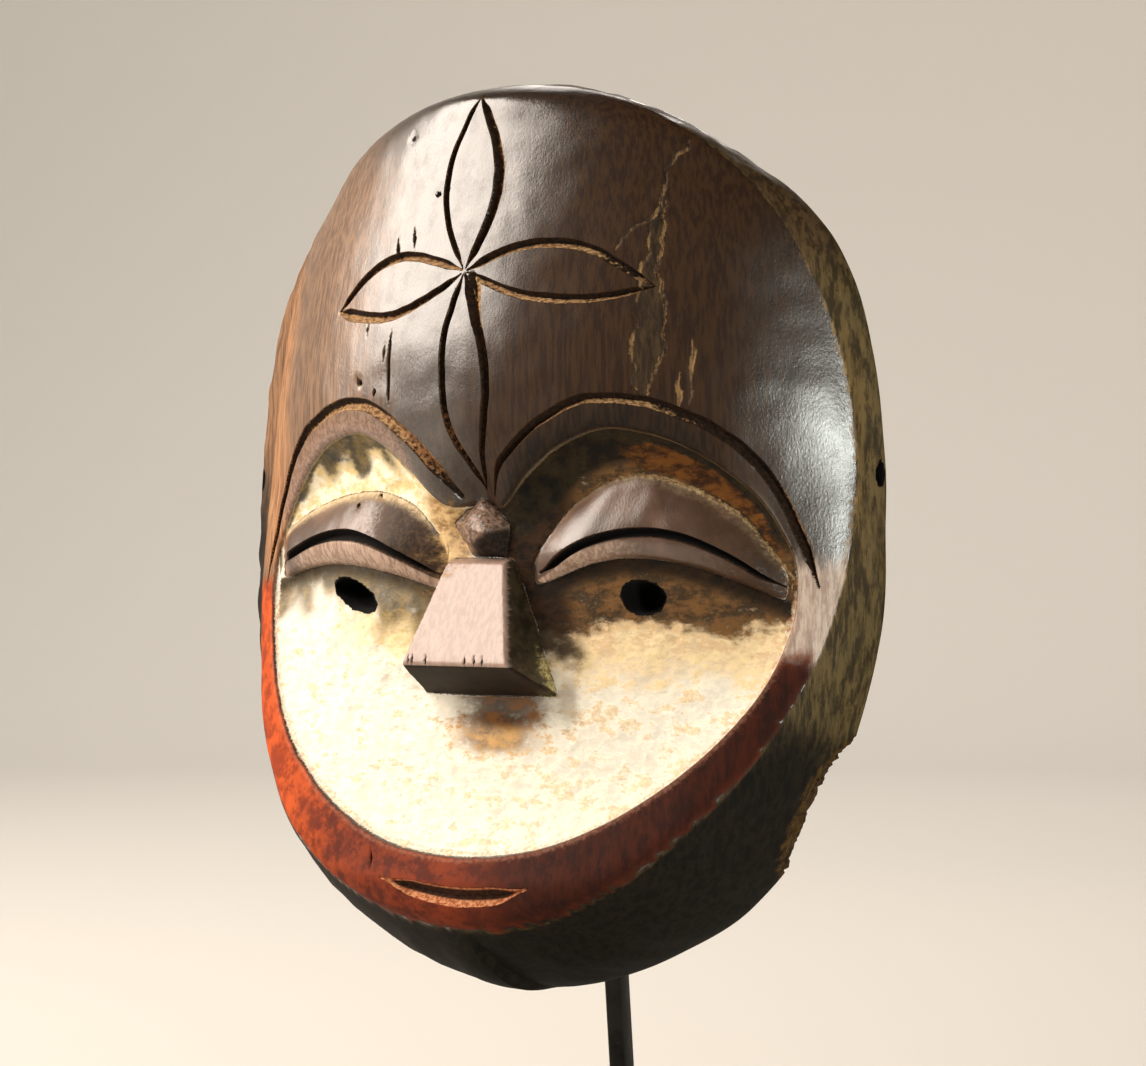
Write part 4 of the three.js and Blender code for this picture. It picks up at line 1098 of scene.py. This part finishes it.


# Oiled hardwood, carved with a blade and handled for years: satin brown with fine upright grain and dark pores.
# The sunk face is thick matt kaolin clay, stained by smoke and oil, and the jaw is rubbed with red ochre;
# shade, shadows and some highlights are painted into these colours too.
carving = {
    # patterns: size in mm, detail, roughness, stretch along x, y and z
    "patterns": {
        "grain": (1.3, 4, 0.62, (1, 1, 12)),
        "pores": (0.6, 3, 0.65, (1, 1, 2)),  # real pores are 0.2 mm wide, drawn as coarse as they need to show
        "patches": (24, 4, 0.55, (1, 1, 1)),
        "blotches": (6, 5, 0.68, (1, 1, 1)),
        "specks": (1.3, 3, 0.7, (1, 1, 1)),
        "flakes": (4.2, 6, 0.74, (1.7, 1.7, 1)),
        "scratches": (2.2, 5, 0.75, (1, 1, 6)),
    },
    "wood": ("#1c1109", "#332111"),
    "oldOil": "#2a1b0e",
    # oil has filled and polished the wood, but not the sides or the clay
    "polish": {"smooth": 0.36, "dull": 0.54, "roughness": 0.27, "IOR": 1.85},
    "pore": "#080403",
    # the clay's grit against the wood's pores, and how high in m each relief stands
    "grit": 14.0, "relief": 0.00009, "fineRelief": 0.00005, "IOR": 1.28,
    # layers: cover, pattern and depth of its ragged edge, softness of that edge, strength,
    # two colours and the pattern between them, roughness
    "layers": [
        # worn wood with painted highlight on the left
        ("worn", "patches", 0.35, 0.5, 0.8, "#5e422c", "#8a6648", "grain", 0.4),
        ("temple", "patches", 0.3, 0.5, 0.85, "#7a5436", "#a87c56", "grain", 0.55),
        ("dimWood", "patches", 0.2, 0.5, 0.92, "#231308", "#33200e", "grain", 0.56),
        # painted shade on the right brow band
        ("browShade", "patches", 0.4, 0.5, 0.9, "#0e0804", "#22160b", "grain", 0.6),
        ("dusted", "specks", 0.5, 0.5, 0.7, "#6a5044", "#8e7464", "specks", 0.5),
        ("side", "scratches", 0.2, 0.2, 1.0, "#2e2410", "#5e4e2e", "scratches", 0.65),
        ("sideTop", "scratches", 0.3, 0.4, 0.8, "#2a1c0e", "#463220", "scratches", 0.6),
        ("leftSide", "scratches", 0.2, 0.3, 1.0, "#543a26", "#7e5c40", "grain", 0.6),
        # painted shade under the chin
        ("underShade", "patches", 0.5, 0.35, 0.97, "#050402", "#120d06", "scratches", 0.8),
        ("ridgeLine", "scratches", 0.9, 0.2, 0.6, "#6a5030", "#9a7e52", "grain", 0.55),
        # clay smear and painted sheen
        ("smearAndSheen", "scratches", 0.5, 0.4, 0.85, "#a08a7c", "#cdb9ab", "scratches", 0.55),
        ("red", "blotches", 0.5, 0.35, 0.97, "#4a1705", "#70290a", "blotches", 0.78),
        # painted light on the left of the red
        ("redPaintedLight", "blotches", 0.4, 0.5, 0.95, "#84300c", "#b04918", "blotches", 0.8),
        # dirt and painted shade on the right of the red
        ("redDirtAndShade", "blotches", 0.4, 0.5, 0.9, "#160601", "#300f03", "scratches", 0.8),
        ("redEdge", "specks", 0.6, 0.4, 0.25, "#905a42", "#b0806a", "specks", 0.8),
        ("noseFront", "specks", 0.1, 0.4, 0.85, "#8f766a", "#a08678", "grain", 0.48),
        # painted shade on the nose's right side
        ("noseSide", "blotches", 0.1, 0.4, 0.92, "#1a1409", "#352c1c", "blotches", 0.45),
        ("noseFoot", "flakes", 0.8, 0.4, 0.7, "#9c8448", "#d2c48e", "specks", 0.85),
        # painted shade under the nose
        ("noseUnderShade", "patches", 0.3, 0.2, 0.9, "#0e0702", "#1f1306", "blotches", 0.7),
        ("knob", "specks", 0.4, 0.3, 0.75, "#4e3c2e", "#94796a", "specks", 0.55),
        # painted shade on the knob
        ("knobShade", "specks", 0.7, 0.4, 0.95, "#0a0502", "#1c1208", "specks", 0.7),
        ("clay", "specks", 0.5, 0.2, 1.0, "#d2cbbb", "#e6e1d6", "flakes", 0.9),
        ("flecks", "flakes", 1.7, 0.12, 0.6, "#bd9458", "#d8bc84", "specks", 0.9),
        ("ochreLeft", "flakes", 0.9, 0.3, 0.7, "#c4a463", "#dcc88e", "flakes", 0.9),
        ("ochre", "flakes", 1.0, 0.4, 0.72, "#bd9252", "#dcc594", "flakes", 0.9),
        # stain and painted shade round the right eye
        ("rightStainAndShade", "flakes", 1.0, 0.3, 0.95, "#1d0f03", "#5c380c", "flakes", 0.88),
        ("stainLeft", "flakes", 0.7, 0.5, 0.85, "#34280f", "#806a3e", "flakes", 0.88),
        ("noseShade", "flakes", 0.7, 0.45, 0.95, "#080401", "#261506", "flakes", 0.88),
        ("cream", "flakes", 0.8, 0.25, 0.95, "#d2ba84", "#e8e0ca", "flakes", 0.9),
        # stain and painted shade in the left socket
        ("deepStainAndShade", "flakes", 1.0, 0.4, 0.93, "#1c160a", "#5a4a28", "blotches", 0.85),
        # painted shadow in the right socket
        ("rightSocketShadow", "flakes", 0.9, 0.35, 0.95, "#080602", "#221a0a", "blotches", 0.85),
        ("orange", "flakes", 0.8, 0.3, 0.9, "#2e1804", "#643c14", "flakes", 0.85),
        # painted shadow below the lids
        ("underLidShadow", "flakes", 0.6, 0.5, 0.93, "#070401", "#1a0f04", "flakes", 0.88),
        ("lids", "specks", 0.3, 0.3, 0.75, "#4a3528", "#6c5142", "patches", 0.43),
        # painted shade on the lids' ends
        ("lidShade", "specks", 0.5, 0.5, 0.9, "#180f07", "#3c2a1b", "specks", 0.6),
        # painted highlight on the lower lids
        ("lidHighlight", "specks", 0.4, 0.4, 0.8, "#8c7060", "#b39a88", "grain", 0.5),
        ("lidClay", "flakes", 0.5, 0.5, 0.75, "#b59c76", "#d8c6a4", "specks", 0.8),
        ("crust", "specks", 1.1, 0.35, 0.5, "#846844", "#b89c70", "specks", 0.9),
        ("nasion", "flakes", 0.8, 0.35, 0.85, "#7a5024", "#cba66c", "flakes", 0.9),
        ("underNose", "flakes", 0.9, 0.35, 0.85, "#6a4418", "#b4894c", "flakes", 0.9),
        ("noseShadow", "flakes", 0.6, 0.4, 0.93, "#241203", "#55300e", "flakes", 0.9),
        ("smudge", "flakes", 0.9, 0.4, 0.6, "#5c564a", "#94897a", "flakes", 0.9),
        ("flakyEdge", "flakes", 1.2, 0.25, 0.6, "#e8dcc4", "#b98c66", "specks", 0.9),
        # dirt and painted shade in the cuts
        ("groove", "specks", 0.4, 0.2, 1.0, "#100904", "#2a1a0e", "specks", 0.9),
        ("browDirt", "specks", 0.5, 0.2, 0.9, "#341e10", "#986e48", "specks", 0.9),
        # painted light on the cut walls that face the key lamp, in a sandy dust colour
        ("grooveDustAndLight", "specks", 0.7, 0.35, 0.92, "#6a4c32", "#b08c62", "specks", 0.9),
        # painted shade in the lid slits
        ("slit", "specks", 0.2, 0.2, 1.0, "#050302", "#0c0704", "specks", 0.9),
        # sandy red cut, partly painted highlight; then painted shade on its upper wall
        ("mouth", "specks", 0.3, 0.2, 0.95, "#8a4a28", "#c88a62", "specks", 0.8),
        ("mouthUpperShade", "specks", 0.3, 0.3, 0.95, "#0c0402", "#1e0d06", "specks", 0.9),
        ("flaked", "scratches", 0.6, 0.3, 0.6, "#1a130b", "#43341f", "scratches", 0.7),
        ("raw", "scratches", 1.3, 0.2, 0.75, "#4e3820", "#8a6c46", "scratches", 0.8),
        ("split", "specks", 0.2, 0.2, 0.95, "#080503", "#120b06", "specks", 0.9),
        ("broken", "scratches", 0.6, 0.3, 1.0, "#241809", "#503a19", "scratches", 0.9),
        ("hollow", "scratches", 0.1, 0.15, 1.0, "#3a2a1b", "#4b3723", "grain", 0.8),
        # painted shade inside the holes
        ("holeShade", "specks", 0.1, 0.15, 1.0, "#020101", "#050302", "specks", 1.0),
    ],
}


def maskMaterial():
    material, tree = newMaterial("oiled hardwood with kaolin and red ochre")
    place = addNode(tree, "TexCoord", output="Object")
    pattern = {}
    for name, (size, detail, roughness, stretch) in carving["patterns"].items():
        stretched = addNode(tree, "Mapping", {"Vector": place, "Scale": [1 / v for v in stretch]})
        values = {"Vector": stretched, "Scale": 1000 / size, "Detail": detail, "Roughness": roughness}
        pattern[name] = addNode(tree, "TexNoise", values)
    first, second = carving["wood"]
    amount = addNode(tree, "MapRange", {0: pattern["grain"], 1: 0.32, 2: 0.7}, **smooth)
    colour = addNode(tree, "Mix", {0: amount, 6: first, 7: second}, **mixColours)
    # older oil lies darker in patches, and the pores are dark dashes
    amount = addNode(tree, "MapRange", {0: pattern["patches"], 1: 0.42, 2: 0.66, 3: 0, 4: 0.45}, **smooth)
    colour = addNode(tree, "Mix", {0: amount, 6: colour, 7: carving["oldOil"]}, **mixColours)
    amount = addNode(tree, "MapRange", {0: pattern["pores"], 1: 0.38, 2: 0.3, 3: 0, 4: 0.85})
    colour = addNode(tree, "Mix", {0: amount, 6: colour, 7: carving["pore"]}, **mixColours)
    roughness = addNode(tree, "MapRange", {0: pattern["blotches"], 1: 0.3, 2: 0.7, 3: 0.32, 4: 0.4})
    cover = {}
    for name, edge, ragged, soft, strength, first, second, between, dull in carving["layers"]:
        fact = addNode(tree, "Attribute", output="Fac", attribute_name=name)
        edgeNow = addNode(tree, "Math", {0: pattern[edge], 1: 0.5}, operation="SUBTRACT")
        edgeNow = addNode(tree, "Math", {0: edgeNow, 1: 2 * ragged, 2: fact}, operation="MULTIPLY_ADD")
        values = {0: edgeNow, 1: 0.5 - soft, 2: 0.5 + soft, 3: 0, 4: strength}
        covered = addNode(tree, "MapRange", values, **smooth)
        # no stray flecks where the finish is missing
        present = addNode(tree, "MapRange", {0: fact, 1: 0.01, 2: 0.12})
        cover[name] = addNode(tree, "Math", {0: covered, 1: present}, operation="MULTIPLY")
        amount = addNode(tree, "MapRange", {0: pattern[between], 1: 0.4, 2: 0.6}, **smooth)
        paint = addNode(tree, "Mix", {0: amount, 6: first, 7: second}, **mixColours)
        colour = addNode(tree, "Mix", {0: cover[name], 6: colour, 7: paint}, **mixColours)
        roughness = addNode(tree, "Mix", {0: cover[name], 2: roughness, 3: dull})
    # fine relief: shallow pores in the wood, a gritty surface on the clay
    grit = addNode(tree, "Math", {0: pattern["flakes"], 1: carving["grit"]}, operation="MULTIPLY")
    height = addNode(tree, "Mix", {0: cover["clay"], 2: pattern["pores"], 3: grit})
    values = {"Height": height, "Distance": carving["relief"], "Strength": 0.8}
    normal = addNode(tree, "Bump", values, output="Normal")
    values = {"Height": pattern["specks"], "Distance": carving["fineRelief"], "Normal": normal}
    normal = addNode(tree, "Bump", values, output="Normal")
    polish = carving["polish"]
    coat = addNode(tree, "MapRange", {0: roughness, 1: polish["smooth"], 2: polish["dull"], 3: 1, 4: 0})
    values = {"Base Color": colour, "Roughness": roughness, "Normal": normal, "IOR": carving["IOR"]}
    values.update({"Coat Weight": coat, "Coat Roughness": polish["roughness"]})
    values.update({"Coat IOR": polish["IOR"], "Coat Normal": normal})
    surfaceNode = addNode(tree, "BsdfPrincipled", values)
    addNode(tree, "OutputMaterial", {"Surface": surfaceNode})
    return material


maskPiece.data.materials.clear()
maskPiece.data.materials.append(maskMaterial())
print("mask: material is set")

# Mild steel, sawn, welded and blackened with hot oil: near black and satin, with brown bloom and a little rust.
steel = {
    "dark": "#0d0c0b", "bloom": "#211d19", "rust": "#4a3322",
    "bar": 6, "edge": 0.55, "foot": 150, "thick": 8, "corner": 4, "chamfer": 0.8,
    "footY": 45, "lean": math.radians(6.2), "top": maskHeight + 88, "crossY": -12, "crossHalf": 26,
    "lowArm": -143, "lowArmBack": 6.6, "bead": 1.25, "beadStep": 1.15, "seatRoom": 0.2,
}
eased = {"limit_method": "ANGLE", "angle_limit": math.radians(50)}
shadedAngle = math.radians(32)


def steelMaterial(name):
    material, tree = newMaterial(name)
    place = addNode(tree, "TexCoord", output="Object")
    cloud = addNode(tree, "TexNoise", {"Vector": place, "Scale": 1000 / 9, "Detail": 6, "Roughness": 0.65})
    scale = addNode(tree, "TexNoise", {"Vector": place, "Scale": 1000 / 1.6, "Detail": 4, "Roughness": 0.7})
    amount = addNode(tree, "MapRange", {0: cloud, 1: 0.35, 2: 0.68}, **smooth)
    colour = addNode(tree, "Mix", {0: amount, 6: steel["dark"], 7: steel["bloom"]}, **mixColours)
    amount = addNode(tree, "MapRange", {0: scale, 1: 0.64, 2: 0.74, 3: 0, 4: 0.5}, **smooth)
    colour = addNode(tree, "Mix", {0: amount, 6: colour, 7: steel["rust"]}, **mixColours)
    roughness = addNode(tree, "MapRange", {0: cloud, 1: 0.3, 2: 0.7, 3: 0.38, 4: 0.62})
    normal = addNode(tree, "Bump", {"Height": scale, "Distance": 0.00012}, output="Normal")
    values = {"Base Color": colour, "Roughness": roughness, "Metallic": 0.6, "Normal": normal}
    addNode(tree, "OutputMaterial", {"Surface": addNode(tree, "BsdfPrincipled", values)})
    return material


def beadRing(centre, first, second, half):
    # weld beads round a square joint, one overlapping the next
    count = math.ceil(2 * half / steel["beadStep"])
    corners = [(-half, -half), (half, -half), (half, half), (-half, half)]
    for (a, b), (c, d) in zip(corners, corners[1:] + corners[:1]):
        for step in range(count):
            u, v = a + (c - a) * step / count, b + (d - b) * step / count
            at = Vector(centre) + Vector(first) * u + Vector(second) * v
            radius = steel["bead"] / 1000
            bpy.ops.mesh.primitive_ico_sphere_add(subdivisions=1, radius=radius, location=at / 1000)
            beads.append(bpy.context.active_object)


def joinPieces(pieces, name):
    bpy.ops.object.select_all(action="DESELECT")
    for piece in pieces:
        piece.select_set(True)
    bpy.context.view_layer.objects.active = pieces[0]
    if len(pieces) > 1:
        bpy.ops.object.join()
    bpy.ops.object.transform_apply(location=True, rotation=True, scale=True)
    joined = bpy.context.active_object
    joined.name = name
    return joined


def barCentre(height):
    return steel["footY"] - (height - steel["thick"]) * math.tan(steel["lean"])


# the rod's own bars come from the frame, their doubles merged and their edges eased
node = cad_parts["stand_rod"]
rodPiece = node.copy()
rodPiece.data = node.data.copy()
bpy.context.collection.objects.link(rodPiece)
choose(rodPiece)
bpy.ops.object.mode_set(mode="EDIT")
bpy.ops.mesh.select_all(action="SELECT")
bpy.ops.mesh.remove_doubles(threshold=0.00005)
bpy.ops.mesh.dissolve_limited(angle_limit=math.radians(2))
bpy.ops.object.mode_set(mode="OBJECT")
bevel = {"width": steel["edge"] / 1000, "segments": 2, "use_clamp_overlap": True}
applyModifier(rodPiece, "BEVEL", "ease", **bevel, **eased)
half = steel["bar"] / 2
armHeight = steel["top"] - half
lowHeight = maskHeight + steel["lowArm"]
beads = []
beadRing((0, barCentre(lowHeight) - half, lowHeight), (1, 0, 0), (0, 0, 1), half)
beadRing((0, steel["lowArmBack"], lowHeight), (1, 0, 0), (0, 0, 1), half)
beadRing((0, barCentre(armHeight) - half, armHeight), (1, 0, 0), (0, 0, 1), half)
beadRing((0, steel["crossY"] + half, armHeight), (1, 0, 0), (0, 0, 1), half)
for side in (-1, 1):
    beadRing((side * steel["crossHalf"], steel["crossY"], armHeight + half), (1, 0, 0), (0, 1, 0), half)
beadRing((0, barCentre(steel["thick"]), steel["thick"]), (1, 0, 0), (0, 1, 0), half + steel["seatRoom"])
rodPiece = joinPieces([rodPiece] + beads, "steelRod")
bpy.ops.object.shade_smooth_by_angle(angle=shadedAngle)
rodPiece.data.materials.clear()
rodPiece.data.materials.append(steelMaterial("blackened square bar"))
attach(rodPiece, "root")
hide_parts("stand_rod")
print("rod: bars and weld beads are joined")

bpy.ops.object.select_all(action="DESELECT")
bpy.ops.mesh.primitive_cube_add(size=1, location=(0, 0, steel["thick"] / 2000))
footPiece = bpy.context.active_object
footPiece.scale = (steel["foot"] / 1000, steel["foot"] / 1000, steel["thick"] / 1000)
footPiece = joinPieces([footPiece], "steelFoot")
bpy.ops.object.mode_set(mode="EDIT")
bpy.ops.mesh.select_mode(type="EDGE")
bpy.ops.mesh.select_all(action="DESELECT")
bpy.ops.object.mode_set(mode="OBJECT")
for edge in footPiece.data.edges:
    a, b = (footPiece.data.vertices[i].co for i in edge.vertices)
    edge.select = abs(a.z - b.z) > 0.001
bpy.ops.object.mode_set(mode="EDIT")
bpy.ops.mesh.bevel(offset=steel["corner"] / 1000, segments=6)
bpy.ops.object.mode_set(mode="OBJECT")
applyModifier(footPiece, "BEVEL", "ease", width=steel["chamfer"] / 1000, segments=3, **eased)
bpy.ops.object.shade_smooth_by_angle(angle=shadedAngle)
footPiece.data.materials.append(steelMaterial("blackened steel plate"))
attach(footPiece, "root")
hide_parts("stand_foot")
print("foot: plate is bevelled")

# a plain pale sweep, soft lamps and the camera
room = {
    "sweep": "#cfcbc4", "flatTo": 2.2, "curve": 0.9, "curveSteps": 12, "wallTop": 2.6,
    "sky": "#dcdad6", "skyStrength": 0.05,
    "lamps": [
        # name, direction in degrees from the front, height in degrees, distance, width and height in m,
        # power in W, colour, spread in degrees, and the point it is aimed at where that isn't the mask
        ("key", -50, 32, 1.7, 2.0, 1.7, 56, "#fff3e6", 140, None),
        ("rim", 68, 0, 1.5, 0.3, 0.6, 1.8, "#e9eee6", 60, None),
        ("back", 200, 26, 1.9, 0.9, 0.9, 1.2, "#fff6ee", 60, None),
        ("sweepLamp", 212, 60, 2.2, 1.6, 0.6, 22, "#fffaf4", 130, (-1.4, 2.2, 0)),
    ],
    "lookAt": (0.00435, 0.00272, 0.23174), "azimuth": 32, "distance": 1.0, "lens": 101,
}
profile = [(0.02, 0), (room["flatTo"], 0)]
for step in range(1, room["curveSteps"] + 1):
    angle = math.pi / 2 * step / room["curveSteps"]
    profile.append((room["flatTo"] + room["curve"] * math.sin(angle), room["curve"] * (1 - math.cos(angle))))
profile.append((room["flatTo"] + room["curve"], room["wallTop"]))
bpy.ops.object.select_all(action="DESELECT")
bpy.ops.mesh.primitive_circle_add(vertices=96, radius=profile[0][0], fill_type="NGON", location=(0, 0, 0))
sweep = bpy.context.active_object
sweep.name = "paleSweep"
bpy.ops.object.mode_set(mode="EDIT")
bpy.ops.mesh.select_all(action="SELECT")
for (inner, low), (outer, high) in zip(profile, profile[1:]):
    bpy.ops.mesh.extrude_edges_move(TRANSFORM_OT_translate={"value": (0, 0, high - low)})
    bpy.ops.transform.resize(value=(outer / inner, outer / inner, 1))
bpy.ops.mesh.select_all(action="SELECT")
bpy.ops.mesh.normals_make_consistent(inside=True)
bpy.ops.object.mode_set(mode="OBJECT")
bpy.ops.object.shade_smooth()
material, tree = newMaterial("matt pale paint")
paint = addNode(tree, "BsdfPrincipled", {"Base Color": room["sweep"], "Roughness": 0.9})
addNode(tree, "OutputMaterial", {"Surface": paint})
sweep.data.materials.append(material)
world = bpy.data.worlds.new("studio")
world.use_nodes = True
world.node_tree.nodes["Background"].inputs[0].default_value = linearColour(room["sky"])
world.node_tree.nodes["Background"].inputs[1].default_value = room["skyStrength"]
bpy.context.scene.world = world
bpy.context.scene.view_settings.view_transform = "Standard"


def fromFront(turned, raised):
    turned, raised = math.radians(turned), math.radians(raised)
    return Vector((math.sin(turned) * math.cos(raised), -math.cos(turned) * math.cos(raised), math.sin(raised)))


target = Vector(room["lookAt"])
for name, turned, raised, distance, width, height, power, colour, spread, aim in room["lamps"]:
    data = bpy.data.lights.new(name, "AREA")
    data.shape = "RECTANGLE"
    data.size, data.size_y = width, height
    data.energy = power
    data.spread = math.radians(spread)
    data.color = linearColour(colour)[:3]
    lamp = bpy.data.objects.new(name, data)
    lamp.location = target + distance * fromFront(turned, raised)
    lamp.rotation_euler = (Vector(aim or target) - lamp.location).to_track_quat("-Z", "Y").to_euler()
    lamp.visible_camera = False
    bpy.context.collection.objects.link(lamp)
lens = bpy.data.cameras.new("camera")
lens.lens = room["lens"]
lens.clip_start, lens.clip_end = 0.02, 60
camera = bpy.data.objects.new("camera", lens)
camera.location = target + room["distance"] * fromFront(room["azimuth"], 0)
camera.rotation_euler = (target - camera.location).to_track_quat("-Z", "Y").to_euler()
bpy.context.collection.objects.link(camera)
bpy.context.scene.camera = camera
print("room: sweep, lamps and camera are set")
